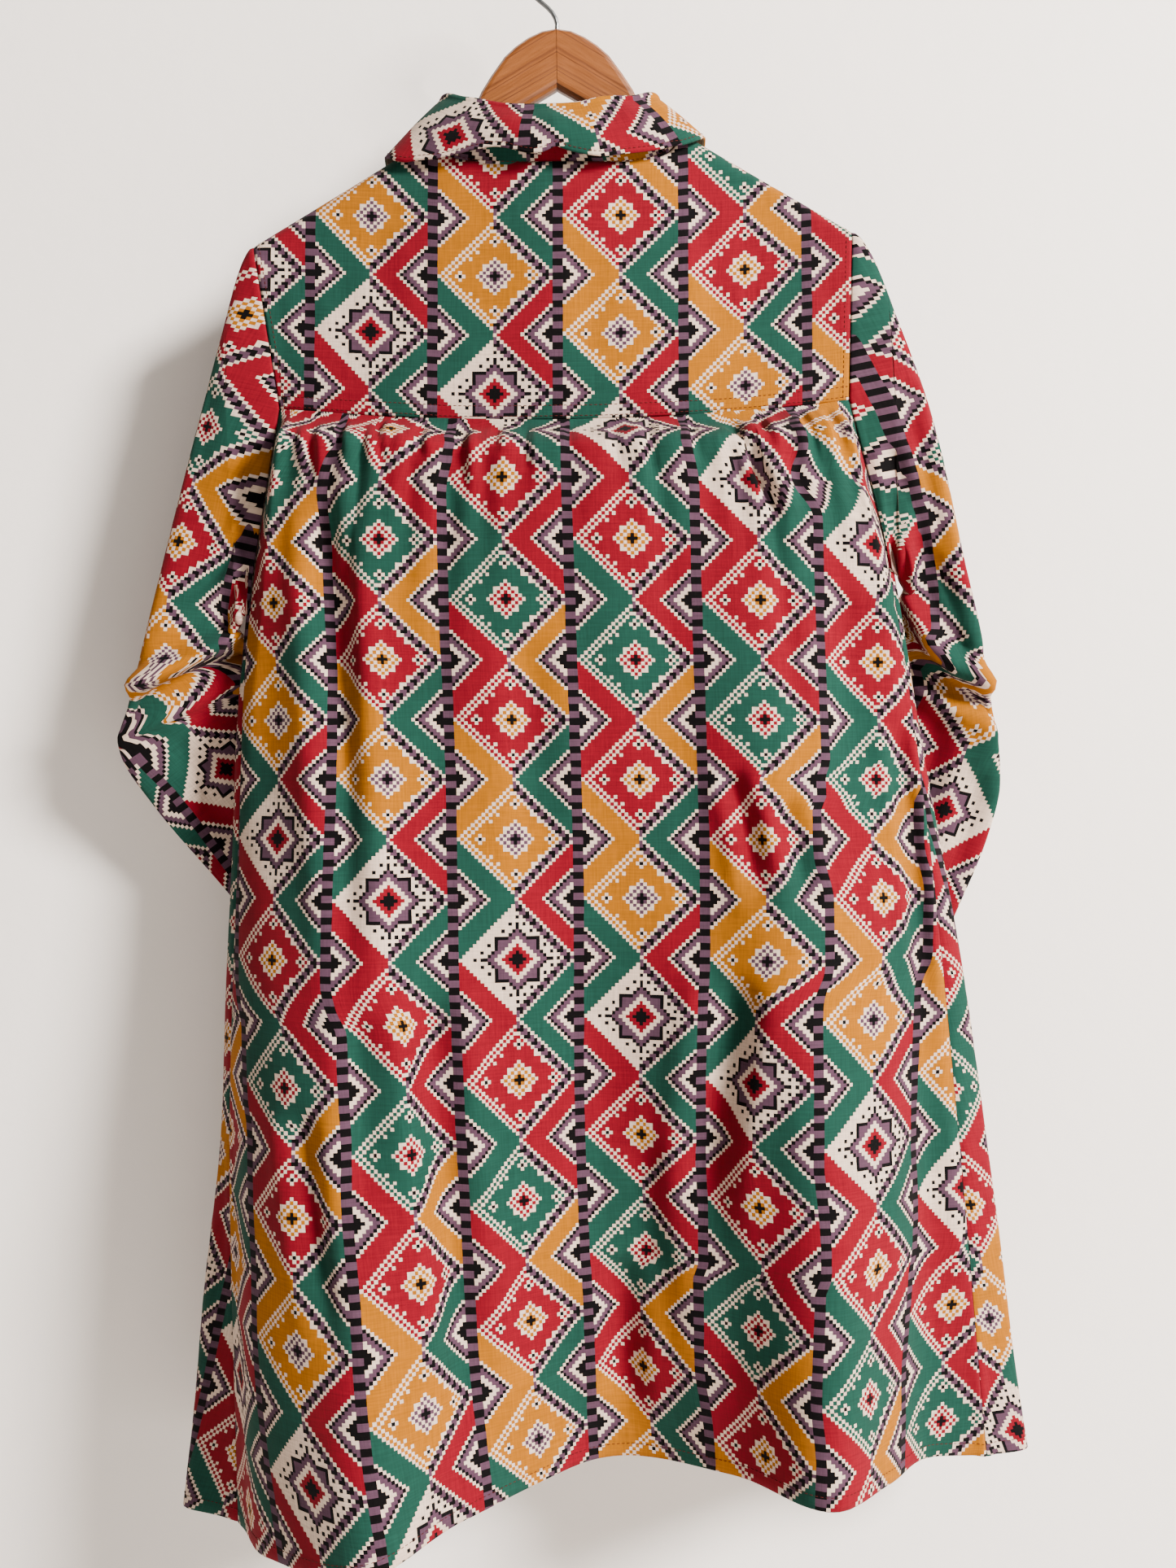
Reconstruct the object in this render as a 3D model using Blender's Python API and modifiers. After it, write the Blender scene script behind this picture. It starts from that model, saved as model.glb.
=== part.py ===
"""A long smock shirt with a gathered back, hung on a wooden hanger.

Metres, +Z up. The shirt's back faces -Y and its front +Y. The origin is the inner top of the hanger's hook.
Left and right are those of somebody who looks at the back.
"""

import math

import bmesh
import bpy
import numpy as np

MM = 0.001

# Cloth and seams
WALL = 1.6 * MM
COLLAR_WALL = 1.8 * MM
SEAM_GAP = 0.3 * MM
SIDE_SEAM_GAP = 0.95 * MM

# Hanger
HANGER_THICK = 0.012
HANGER_TILT = math.radians(0.7)
MITRE_GAP = 0.3 * MM
CLOTH_ON_ARM = 2.3 * MM
WIRE_RADIUS = 1.6 * MM
HOOK_INNER_RADIUS = 0.022
WOOD_ROUNDING = 4.5 * MM

# One half of the hanger's board, untilted, as (x, z) in millimetres
HEAD_OUTLINE = ((0, -63), (10, -64.6), (19.5, -69), (28, -74.8), (35.5, -81.6), (44.5, -94), (51.5, -105))
NECK_OF_BOARD = ((55, -113), (60, -123), (70, -134))
ARM_PLACES = (98, 120, 186)
ARM_END = ((194, -207), (196, -214), (190, -221))
UNDERSIDE = ((150, -206), (110, -181), (70, -152), (30, -121), (0, -103.5))

# The hook's wire from the board's head to its loop, as (x, z) in millimetres
HOOK_STEM = ((0, -57.5), (-3, -51), (-8.5, -45.5))
# The angles that the loop runs through, in degrees
LOOP_ANGLES = range(235, -36, -18)
HOOK_POINTS = 34

# Shoulders: the ridge that the cloth makes along the hanger's arms, and the roll over them
RIDGE_TOP = -0.0862
RIDGE_SLOPE = math.radians(30.6)
ROLL_AT_SHOULDER = 9.5 * MM
ROLL_AT_NECK = 26.0 * MM
ROLL_REACH = 0.090
SHOULDER_LEFT = -0.2085
SHOULDER_RIGHT = 0.1985

# Neck
NECK_HALF_WIDTH = 0.084
NECK_DROP_BACK = 0.0965
NECK_DROP_FRONT = 0.138
YOKE_OVER_FRONT = 0.028
NECK_POWER_BACK = 1.8
NECK_POWER_FRONT = 1.3
NECK_END = math.pi - math.acos((YOKE_OVER_FRONT / NECK_DROP_FRONT) ** (1 / NECK_POWER_FRONT))
LAP_HALF_WIDTH = 0.015
LAP_LIFT = 3.0 * MM
LAP_TOP_REACH = 0.075
LAP_TOP_FADE = 0.050

# Buttons
BUTTON_RADIUS = 5.75 * MM
BUTTON_THICK = 2.6 * MM
BUTTON_COUNT = 7
FIRST_BUTTON_Z = -0.262
BUTTON_PITCH = 0.102
BUTTON_STEPS = 14
# Half of a button's section, from under it round to its top, as shares of its radius and thickness
BUTTON_PROFILE = (
    (0, 0.25),
    (0.72, 0.25),
    (0.80, 0),
    (1, 0.22),
    (1, 0.62),
    (0.86, 1),
    (0.66, 0.80),
    (0, 0.80),
)

# Colours
RED = (0.50, 0.03, 0.03)
GREEN = (0.03, 0.17, 0.10)
OCHRE = (0.72, 0.30, 0.03)
CREAM = (0.74, 0.68, 0.58)
BROWN_BLACK = (0.06, 0.03, 0.03)
WOOD = (0.55, 0.27, 0.12)
STEEL = (0.45, 0.45, 0.44)

# Grid sizes: columns run across a piece, rows run down it
YOKE_SEAM_COLUMNS = 7
YOKE_NECK_COLUMNS = 26
BACK_COLUMNS = 72
FRONT_NECK_COLUMNS = 8
FRONT_SEAM_COLUMNS = 8
SLEEVE_ROWS = 17
COLLAR_COLUMNS = 54
COLLAR_END = 162

# How far down the yoke each row of it lies, from the front seam over the ridge to the back seam
YOKE_ROWS = (0, 0.02, 0.06, 0.105, 0.15, 0.20, 0.25, 0.31, 0.42, 0.56, 0.71, 0.86, 1)
# How far down the back panel each row of it lies, from the yoke seam to the hem
BACK_ROWS = (0, 0.004, 0.018, 0.036, 0.062, 0.095, 0.135, 0.185, 0.26, 0.36, 0.48, 0.61, 0.74, 0.87, 1)
# How far down the fronts each row lies: 0 at the top edge, 1 at the underarm, 2 at the hem
FRONT_ROWS = (0, 0.16, 0.33, 0.5, 0.66, 0.82, 1, 1.14, 1.29, 1.44, 1.58, 1.72, 1.86, 2)

# Levels of the body: how far down the back each lies, and its height at the left, centre and right
LEVELS = (
    # name, down, left, centre, right
    ("yoke seam", 0.00, -0.321, -0.332, -0.315),
    ("chest", 0.185, -0.457, -0.447, -0.428),
    ("waist", 0.42, -0.620, -0.615, -0.600),
    ("hip", 0.67, -0.805, -0.795, -0.782),
    ("hem", 1.00, -1.060, -1.020, -1.022),
)
CHEST_DOWN = 0.185

# Back panel: where each place round it stands at each level, as (x, y) in millimetres
BACK_PLACES = (
    # place, yoke seam, chest, waist, hip, hem
    ("left seam", (-185, -11), (-207, -4), (-214, -8), (-218, -14), (-211, -20)),
    ("left rise", (-158, -17), (-178, -17), (-190, -28), (-194, -50), (-180, -76)),
    ("left bulge", (-110, -22), (-128, -27), (-136, -52), (-132, -88), (-112, -124)),
    ("left fall", (-55, -26), (-66, -30), (-70, -42), (-64, -62), (-55, -74)),
    ("hollow", (5, -28), (3, -30), (12, -30), (30, -26), (46, -12)),
    ("right rise", (62, -26), (70, -29), (84, -34), (98, -42), (112, -46)),
    ("right bulge", (115, -22), (130, -27), (148, -44), (160, -68), (172, -92)),
    ("right fall", (155, -17), (178, -18), (200, -30), (213, -48), (212, -56)),
    ("right trough", (178, -14), (200, -14), (228, -15), (244, -18), (246, -16)),
    ("right seam", (195, -12), (224, -5), (248, -11), (266, -13), (288, -9)),
)

# Fronts: on from the right seam, round the edge, across the front and back to the left seam
FRONT_PLACES = (
    # place, yoke seam, chest, waist, hip, hem
    ("right edge", (204, -9), (227, 2), (257, 1), (288, 1), (319, 5)),
    ("right turn", (200, 6), (220, 9), (246, 12), (274, 14), (300, 22)),
    ("right quarter", (115, 18), (130, 19), (150, 19), (165, 19), (190, 34)),
    ("right inner", (55, 22), (60, 23), (70, 20), (80, 17), (100, 12)),
    ("centre front", (-6, 24), (-4, 24), (10, 21), (21, 20), (33, 26)),
    ("left inner", (-60, 22), (-65, 23), (-60, 20), (-58, 17), (-60, 10)),
    ("left quarter", (-115, 18), (-130, 19), (-138, 19), (-142, 19), (-150, 34)),
    ("left turn", (-190, 6), (-204, 9), (-209, 12), (-217, 12), (-236, 24)),
    ("left edge", (-194, -8), (-210, 2), (-220, 2), (-228, 0), (-253, 3)),
)
FRONT_CROWDING = 1.45
BACK_CROWDING = 0.35
LAP_PLATEAU = 0.034
LAP_RAMP = 0.030

# Gathers sewn into the yoke seam: place across it, depth and length in millimetres
GATHERS = (
    # across, depth, length
    (0.052, 5.0, 90),
    (0.088, 3.0, 60),
    (0.125, 4.5, 110),
    (0.173, 6.0, 170),
    (0.215, 3.5, 80),
    (0.255, 4.5, 120),
    (0.319, 5.5, 150),
    (0.374, 4.0, 100),
    (0.426, 3.0, 90),
    (0.513, 2.5, 70),
    (0.590, 2.5, 60),
    (0.649, 4.0, 120),
    (0.727, 3.0, 80),
    (0.773, 4.5, 110),
    (0.815, 6.0, 190),
    (0.868, 4.0, 90),
    (0.912, 5.0, 120),
    (0.955, 4.0, 100),
)
GATHER_HALF_WIDTH = 0.0125
GATHER_FLAT = 0.003
GATHER_FULL_AT = 0.016
GATHER_RISE = 0.45
GATHER_SPREAD = 0.8
GATHER_EDGE = 0.03

# Sleeves: each section's outer and inner end as (x, y, z), and how far its two faces stand off them
SLEEVE_LEFT = (
    # section, down the sleeve, outer, inner, towards the viewer, away
    ("cap", 0.14, (-223, 2, -258), (-215, 3, -463), 17, 13),
    ("biceps", 0.30, (-244, 4, -336), (-219, 11, -470), 19, 14),
    ("above elbow", 0.47, (-269, 8, -430), (-212, 24, -476), 22, 13),
    ("overhang", 0.60, (-289, 12, -508), (-190, 34, -482), 24, 11),
    ("elbow", 0.68, (-302, 22, -548), (-168, 39, -488), 13, 12),
    ("forearm top", 0.76, (-281, 32, -588), (-150, 40, -504), 11, 12),
    ("forearm", 0.86, (-232, 39, -648), (-116, 39, -562), 11, 12),
    ("above wrist", 0.94, (-184, 40, -706), (-84, 40, -628), 10, 11),
    ("wrist", 1.00, (-148, 40, -748), (-58, 40, -678), 9, 10),
)
SLEEVE_RIGHT = (
    # section, down the sleeve, outer, inner, towards the viewer, away
    ("cap", 0.14, (222, 2, -238), (232, 3, -434), 17, 13),
    ("biceps", 0.30, (252, 4, -320), (238, 11, -441), 19, 14),
    ("above elbow", 0.47, (275, 8, -416), (233, 24, -448), 22, 13),
    ("overhang", 0.60, (292, 12, -496), (212, 34, -458), 24, 11),
    ("elbow", 0.68, (305, 22, -562), (190, 39, -484), 13, 12),
    ("forearm top", 0.76, (300, 32, -606), (172, 40, -534), 11, 12),
    ("forearm", 0.86, (275, 39, -672), (148, 39, -612), 11, 12),
    ("above wrist", 0.94, (244, 40, -744), (128, 40, -694), 10, 11),
    ("wrist", 1.00, (217, 40, -800), (110, 40, -760), 9, 10),
)
HEAD_BLEND = 0.13
HEAD_PUFF = 0.6
HEAD_GAP = 1.1 * MM
UNDERARM_GAP = 2.1 * MM
INNER_FLATNESS = 0.4

# Collar: the fold line in millimetres, and the lower edge as a place on the shoulders and a height off them
COLLAR_LINES = (
    # turn from the centre back in degrees, fold (x, y, z), lower edge (x, over the ridge, off the cloth)
    (-166, (-15, 27, -186), (-44, 146, 4.5)),
    (-130, (-58, 23, -160), (-90, 84, 5.0)),
    (-90, (-76, 2, -112), (-116, 2, 5.2)),
    (-50, (-58, -20, -119), (-88, -36, 9)),
    (0, (-6, -28, -127.5), (-6, -91, 13)),
    (50, (46, -20, -116), (76, -38, 9)),
    (90, (66, 2, -111), (100, 2, 5.2)),
    (130, (44, 23, -158), (78, 89, 5.0)),
    (166, (5, 31, -186), (34, 155, 7.5)),
)
COLLAR_CLEARANCE = 4.6 * MM
STAND_INSET = 1.0 * MM
STAND_RAISE = 1.2 * MM
FOLD_RADIUS = 2.9 * MM
COLLAR_BOW = 5.0 * MM
STAND_SHARES = (0, 0.35, 0.7, 1)
FALL_SHARES = (0, 0.25, 0.5, 0.75, 1)
# The fall's hook over the fold, as places outwards in fold radii and up in millimetres
FOLD_HOOK = ((-1, -4), (-0.8, -0.3), (0, 1), (0.9, -0.4), (1.1, -3))


def spline(knots, values, at):
    """A smooth curve through the values at the knots, read at one place or several."""
    knots = np.asarray(knots, float)
    values = np.asarray(values, float)
    steps = np.diff(knots)
    slopes = np.diff(values, axis=0) / steps.reshape(-1, *[1] * (values.ndim - 1))
    tangents = np.concatenate([slopes[:1], (slopes[1:] + slopes[:-1]) / 2, slopes[-1:]])
    at = np.asarray(at, float)
    cell = np.clip(np.searchsorted(knots, at, side="right") - 1, 0, len(steps) - 1)
    width = steps[cell]
    t = (at - knots[cell]) / width
    shape = t.shape + (1,) * (values.ndim - 1)
    t = t.reshape(shape)
    width = width.reshape(shape)
    return (
        values[cell] * (2 * t**3 - 3 * t**2 + 1)
        + tangents[cell] * width * (t**3 - 2 * t**2 + t)
        + values[cell + 1] * (3 * t**2 - 2 * t**3)
        + tangents[cell + 1] * width * (t**3 - t**2)
    )


def run_lengths(points):
    """The distance along a line of points to each of them."""
    return np.concatenate([[0], np.cumsum(np.linalg.norm(np.diff(points, axis=0), axis=1))])


def even_points(points, count):
    """Count + 1 points evenly spaced along a smooth curve through the given ones."""
    points = np.asarray(points, float)
    lengths = run_lengths(points)
    fine = spline(lengths, points, np.linspace(0, lengths[-1], 40 * len(points)))
    walked = run_lengths(fine)
    wanted = np.linspace(0, walked[-1], count + 1)
    return np.stack([np.interp(wanted, walked, fine[:, axis]) for axis in range(fine.shape[1])], axis=1)


def smoothstep(t):
    t = np.clip(t, 0, 1)
    return t * t * (3 - 2 * t)


def ridge_height(x):
    """Height of the shoulder ridge, which the hanger's tilt lowers on the left."""
    slope = np.where(x < 0, math.tan(RIDGE_SLOPE + HANGER_TILT), math.tan(RIDGE_SLOPE - HANGER_TILT))
    return RIDGE_TOP - np.abs(x) * slope


def roll_radius(x):
    """Radius of the cloth's roll over the ridge, wide at the neck and tight at the shoulder."""
    return ROLL_AT_SHOULDER + (ROLL_AT_NECK - ROLL_AT_SHOULDER) * np.exp(-((x / ROLL_REACH) ** 2))


def level_height(down, across):
    """Height of the body at a level, for a share of the way from its left side to its right."""
    table = np.array([level[2:] for level in LEVELS])
    left, centre, right = np.moveaxis(spline([level[1] for level in LEVELS], table, down), -1, 0)
    bow = centre - (left + right) / 2
    return left + (right - left) * across + bow * 4 * across * (1 - across)


def body_ring(down):
    """A smooth closed line round the body at one level, with the run along it to each place."""
    knots = [level[1] for level in LEVELS]
    rows = [np.array(row[1:], float) * MM for row in BACK_PLACES + FRONT_PLACES]
    places = np.array([spline(knots, row, down) for row in rows])
    wrapped = np.concatenate([places[-3:], places, places[:3]])
    lengths = run_lengths(wrapped)
    fine_lengths = np.linspace(0, lengths[-1], 900)
    fine = spline(lengths, wrapped, fine_lengths)
    walked = run_lengths(fine)
    stops = np.interp(lengths[3:-2], fine_lengths, walked)
    return fine, walked, stops


def along_ring(ring, runs):
    fine, walked, _ = ring
    return np.stack([np.interp(runs, walked, fine[:, axis]) for axis in (0, 1)], axis=-1)


def with_height(flat, down, left, right):
    share = np.clip((flat[:, 0] - left) / (right - left), 0, 1)
    return np.column_stack([flat, level_height(down, share)])


def crowded(count):
    """Shares from 0 to 1 that lie closer together near both ends."""
    share = np.linspace(0, 1, count + 1)
    return share - BACK_CROWDING * np.sin(2 * math.pi * share) / (2 * math.pi)


def back_line(down, count):
    """Points across the back panel at one level, evenly spaced along the cloth."""
    ring = body_ring(down)
    stops = ring[2]
    last = len(BACK_PLACES) - 1
    first, final = stops[0] + SIDE_SEAM_GAP / 2, stops[last] - SIDE_SEAM_GAP / 2
    flat = along_ring(ring, first + (final - first) * crowded(count))
    return with_height(flat, down, flat[0, 0], flat[-1, 0])


def front_line(side, down, beyond, lift, count):
    """Points of one front at one level, from its edge at centre front to the side seam."""
    ring = body_ring(down)
    stops = ring[2]
    centre = stops[len(BACK_PLACES) + 4]
    if side > 0:
        edge, seam = centre + beyond, stops[len(BACK_PLACES) - 1] + SIDE_SEAM_GAP / 2
    else:
        edge, seam = centre - beyond, stops[-1] - SIDE_SEAM_GAP / 2
    share = 1 - (1 - np.linspace(0, 1, count + 1)) ** FRONT_CROWDING
    runs = edge + (seam - edge) * share
    flat = along_ring(ring, runs)
    flat[:, 1] += lift * (1 - smoothstep((np.abs(runs - edge) - LAP_PLATEAU) / LAP_RAMP))
    left, right = back_line(down, 1)[:, 0]
    return with_height(flat, down, left, right)


def on_shoulder(x, over):
    """A point of the shoulder cloth: over is the distance along it from the ridge, negative on the back."""
    x = np.asarray(x, float)
    over = np.asarray(over, float)
    radius = roll_radius(x)
    ridge = ridge_height(x)
    turn = np.clip(over / radius, -math.pi / 2, math.pi / 2)
    below = np.maximum(np.abs(over) - radius * math.pi / 2, 0)
    back = back_line(0, 60)
    front = chest_front_line()
    back_y = np.interp(x, back[:, 0], back[:, 1])
    back_z = np.interp(x, back[:, 0], back[:, 2])
    front_y = np.interp(x, front[:, 0], front[:, 1])
    front_z = np.interp(x, front[:, 0], front[:, 2])
    lean_back = (back_y + radius) / (ridge - radius - back_z)
    lean_front = (front_y - radius) / (ridge - radius - front_z)
    y = radius * np.sin(turn) + below * np.where(over < 0, lean_back, lean_front)
    z = ridge - radius * (1 - np.cos(turn)) - below
    return np.stack([x, y, z], axis=-1)


def chest_front_line():
    """The whole front at the chest, from left to right."""
    left = front_line(-1, CHEST_DOWN, 0, 0, 20)
    right = front_line(1, CHEST_DOWN, 0, 0, 20)
    whole = np.concatenate([left[:0:-1], right])
    return whole[np.argsort(whole[:, 0])]


def neck_place(turn):
    """(x, over) of the neckline at an angle from the centre back, positive to the right."""
    back = NECK_DROP_BACK * np.maximum(np.cos(turn), 0) ** NECK_POWER_BACK
    front = NECK_DROP_FRONT * np.maximum(-np.cos(turn), 0) ** NECK_POWER_FRONT
    return np.stack([NECK_HALF_WIDTH * np.sin(turn), front - back], axis=-1)


def paint(made, colour, roughness, metallic=0.0):
    material = bpy.data.materials.new(made.name)
    material.use_nodes = True
    shader = material.node_tree.nodes["Principled BSDF"]
    shader.inputs["Base Color"].default_value = (*colour, 1)
    shader.inputs["Roughness"].default_value = roughness
    shader.inputs["Metallic"].default_value = metallic
    made.data.materials.append(material)


def sheet_object(name, grid, colour, collection, wall=WALL, around=False, flip=False):
    """A cloth wall on a grid of points, thickened evenly to both sides."""
    rows, columns = grid.shape[:2]
    form = bmesh.new()
    points = [[form.verts.new(grid[row, column]) for column in range(columns)] for row in range(rows)]
    last = columns if around else columns - 1
    for row in range(rows - 1):
        for column in range(last):
            beside = (column + 1) % columns
            above, under = points[row], points[row + 1]
            corners = [above[column], above[beside], under[beside], under[column]]
            form.faces.new(corners[::-1] if flip else corners)
    mesh = bpy.data.meshes.new(name)
    form.to_mesh(mesh)
    form.free()
    made = bpy.data.objects.new(name, mesh)
    mesh.shade_smooth()
    paint(made, colour, 0.85)
    collection.objects.link(made)
    thickness = made.modifiers.new("wall", "SOLIDIFY")
    thickness.thickness = wall
    thickness.offset = 0
    thickness.use_even_offset = False
    return made


def yoke_grid():
    """The yoke's points: rows from the front seams and neckline down to the back seam."""
    gap = SEAM_GAP / 2
    front = YOKE_OVER_FRONT - gap
    left = np.column_stack([
        np.linspace(SHOULDER_LEFT + gap, -NECK_HALF_WIDTH * math.sin(NECK_END), YOKE_SEAM_COLUMNS + 1),
        np.full(YOKE_SEAM_COLUMNS + 1, front),
    ])
    right = np.column_stack([
        np.linspace(NECK_HALF_WIDTH * math.sin(NECK_END), SHOULDER_RIGHT - gap, YOKE_SEAM_COLUMNS + 1),
        np.full(YOKE_SEAM_COLUMNS + 1, front),
    ])
    turns = np.linspace(-NECK_END, NECK_END, 200)
    neck = neck_place(turns)
    walked = run_lengths(on_shoulder(neck[:, 0], neck[:, 1]))
    wanted = np.linspace(0, walked[-1], YOKE_NECK_COLUMNS + 1)[1:-1]
    middle = neck_place(np.interp(wanted, walked, turns))
    top = np.concatenate([left, middle, right])
    columns = len(top) - 1
    seam = back_line(0, columns)
    radius = roll_radius(seam[:, 0])
    bottom = -(radius * math.pi / 2 + ridge_height(seam[:, 0]) - radius - seam[:, 2]) + gap
    rows = np.array(YOKE_ROWS)[:, None]
    x = top[:, 0] + (seam[:, 0] - top[:, 0]) * rows
    over = top[:, 1] + (bottom - top[:, 1]) * rows
    return on_shoulder(x, over)


def gather_depth(across, below):
    """How far the gathers pull the cloth in, at a share across the yoke seam and a distance below it."""
    pulled = np.zeros(np.broadcast(across, below).shape)
    rise = smoothstep((below - GATHER_FLAT) / (GATHER_FULL_AT - GATHER_FLAT))
    for place, depth, length in GATHERS:
        fade = np.exp(-((below / (length * MM)) ** 2))
        spread = GATHER_HALF_WIDTH * (1 + GATHER_SPREAD * below / (length * MM))
        away = (across - place) / spread
        pulled += depth * MM * fade * rise * (np.exp(-(away**2)) - GATHER_RISE)
    return pulled


def back_grid():
    """The back panel's points, from the yoke seam down to the hem."""
    rows = np.stack([back_line(down, BACK_COLUMNS) for down in BACK_ROWS])
    rows[0, :, 2] -= SEAM_GAP / 2
    across = crowded(BACK_COLUMNS)[None, :]
    below = rows[:1, :, 2] - rows[:, :, 2]
    edges = smoothstep(across / GATHER_EDGE) * smoothstep((1 - across) / GATHER_EDGE)
    rows[:, :, 1] += gather_depth(across, below) * edges
    return rows


def front_grid(side):
    """One front's points, from the neckline and yoke seam down to the hem."""
    gap = SEAM_GAP / 2
    lift = LAP_LIFT if side > 0 else 0
    start = math.pi + math.asin(LAP_HALF_WIDTH / NECK_HALF_WIDTH)
    neck = neck_place(np.linspace(start, NECK_END, 100)) * [side, 1]
    walked = run_lengths(neck)
    wanted = np.linspace(0, walked[-1], FRONT_NECK_COLUMNS + 1)
    neck = np.stack([np.interp(wanted, walked, neck[:, axis]) for axis in (0, 1)], axis=1)
    shoulder = SHOULDER_LEFT + gap if side < 0 else SHOULDER_RIGHT - gap
    seam = np.column_stack([
        np.linspace(side * NECK_HALF_WIDTH * math.sin(NECK_END), shoulder, FRONT_SEAM_COLUMNS + 1),
        np.full(FRONT_SEAM_COLUMNS + 1, YOKE_OVER_FRONT + gap),
    ])
    top = np.concatenate([neck, seam[1:]])
    top_points = on_shoulder(top[:, 0], top[:, 1])
    near_lap = smoothstep((LAP_TOP_REACH - side * top[:, 0]) / LAP_TOP_FADE)
    top_points[:, 1] += lift * near_lap
    columns = len(top) - 1
    chest = front_line(side, CHEST_DOWN, LAP_HALF_WIDTH, lift, columns)
    rows = []
    for step in FRONT_ROWS:
        if step <= 1:
            rows.append(top_points + (chest - top_points) * step)
        else:
            down = CHEST_DOWN + (1 - CHEST_DOWN) * (step - 1)
            rows.append(front_line(side, down, LAP_HALF_WIDTH, lift, columns))
    return np.stack(rows)


def armhole_ring(side, yoke, back, front):
    """Points round an armhole from the shoulder ridge down the back, and on up the front to the ridge."""
    edge = 0 if side < 0 else -1
    ridge_row = YOKE_ROWS.index(0.20)
    yoke_edge = yoke[:, edge]
    chest_row = BACK_ROWS.index(CHEST_DOWN)
    back_edge = back[: chest_row + 1, edge]
    front_edge = front[: FRONT_ROWS.index(1) + 1, -1]
    down_back = np.concatenate([yoke_edge[ridge_row:], back_edge[1:]])
    up_front = np.concatenate([front_edge[-2::-1], yoke_edge[1:ridge_row]])
    return down_back, up_front


def sleeve_grid(table, side, ring):
    """A sleeve's rings of points, from its armhole to its open end."""
    down_back, up_front = ring
    head = np.concatenate([down_back, up_front])
    back_share = run_lengths(down_back) / run_lengths(down_back)[-1]
    front_walk = run_lengths(np.concatenate([down_back[-1:], up_front, down_back[:1]]))
    front_share = 1 - (front_walk / front_walk[-1])[1:-1]
    share = np.concatenate([back_share, front_share])
    is_back = np.concatenate([np.ones(len(back_share)), np.zeros(len(front_share))])
    along = (1 - np.cos(math.pi * share)) / 2
    stand_off = np.sin(math.pi * share) ** 0.7 * (1 - INNER_FLATNESS * share)
    knots = [row[1] for row in table]
    outer = np.array([row[2] for row in table], float) * MM
    inner = np.array([row[3] for row in table], float) * MM
    faces = np.array([row[4:] for row in table], float) * MM
    rings = []
    for down in np.linspace(0, 1, SLEEVE_ROWS):
        top = spline(knots, outer, max(down, knots[0]))
        bottom = spline(knots, inner, max(down, knots[0]))
        towards, away = spline(knots, faces, max(down, knots[0]))
        section = top + (bottom - top) * along[:, None]
        section[:, 1] += np.where(is_back > 0, -towards, away) * stand_off
        blend = smoothstep(down / HEAD_BLEND)
        start = head.copy()
        start[:, 0] += side * (HEAD_GAP + (UNDERARM_GAP - HEAD_GAP) * share**3)
        ring = start + (section - start) * blend
        ring[:, 0] = start[:, 0] + (section[:, 0] - start[:, 0]) * blend**HEAD_PUFF
        rings.append(ring)
    return np.stack(rings)


def off_shoulder(points, clearance):
    """The points, moved out where they come nearer to the shoulder cloth than the clearance."""
    x, y, z = points.T
    radius = roll_radius(x)
    hub = ridge_height(x) - radius
    side = np.where(y < 0, -1, 1)
    surface = on_shoulder(x, side * (radius * math.pi / 2 + np.maximum(hub - z, 0)))
    above = z > hub
    reach = np.hypot(y, z - hub)
    outward = np.where(above, radius + clearance, np.abs(surface[:, 1]) + clearance)
    grown = np.maximum(outward / np.maximum(reach, 1e-6), 1)
    moved = points.copy()
    moved[:, 1] = np.where(above, y * grown, side * np.maximum(np.abs(y), outward))
    moved[:, 2] = np.where(above, hub + (z - hub) * grown, z)
    return moved


def collar_lines(turns):
    """The collar's fold line and lower edge at some angles from the centre back."""
    knots = [row[0] for row in COLLAR_LINES]
    fold = spline(knots, np.array([row[1] for row in COLLAR_LINES], float) * MM, turns)
    place = spline(knots, np.array([row[2] for row in COLLAR_LINES], float) * MM, turns)
    on_cloth = on_shoulder(place[:, 0], place[:, 1])
    radius = roll_radius(place[:, 0])
    turn = np.clip(place[:, 1] / radius, -math.pi / 2, math.pi / 2)
    off = np.stack([np.zeros_like(turn), np.sin(turn), np.cos(turn)], axis=-1)
    return fold, on_cloth + off * place[:, 2:]


def collar_stand_grid():
    """The band from just above the neckline up to the fold."""
    turns = np.linspace(-COLLAR_END - 2, COLLAR_END + 2, COLLAR_COLUMNS + 1)
    neck = neck_place(np.radians(turns))
    foot = on_shoulder(neck[:, 0], neck[:, 1])
    foot[:, :2] *= 1 - STAND_INSET / np.linalg.norm(foot[:, :2], axis=1)[:, None]
    foot[:, 2] += STAND_RAISE
    fold, _ = collar_lines(turns)
    top = fold - [0, 0, FOLD_RADIUS]
    return np.stack([foot + (top - foot) * share for share in STAND_SHARES])


def collar_fall_grid():
    """The turned-down part: it hooks over the stand's top edge and falls outwards."""
    turns = np.linspace(-COLLAR_END, COLLAR_END, COLLAR_COLUMNS + 1)
    fold, edge = collar_lines(turns)
    run = np.gradient(fold, axis=0)
    outwards = np.column_stack([run[:, 1], -run[:, 0], np.zeros(len(turns))])
    outwards /= np.linalg.norm(outwards, axis=1)[:, None]
    up = np.array([0, 0, 1])
    hook = [fold + outwards * out * FOLD_RADIUS + up * rise * MM for out, rise in FOLD_HOOK]
    rows = hook[:-1]
    start = hook[-1]
    at_back = np.maximum(np.cos(np.radians(turns)), 0)[:, None]
    for share in FALL_SHARES:
        bow = outwards * at_back * COLLAR_BOW * math.sin(math.pi * share)
        rows.append(off_shoulder(start + (edge - start) * share + bow, COLLAR_CLEARANCE))
    return np.stack(rows)


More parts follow.
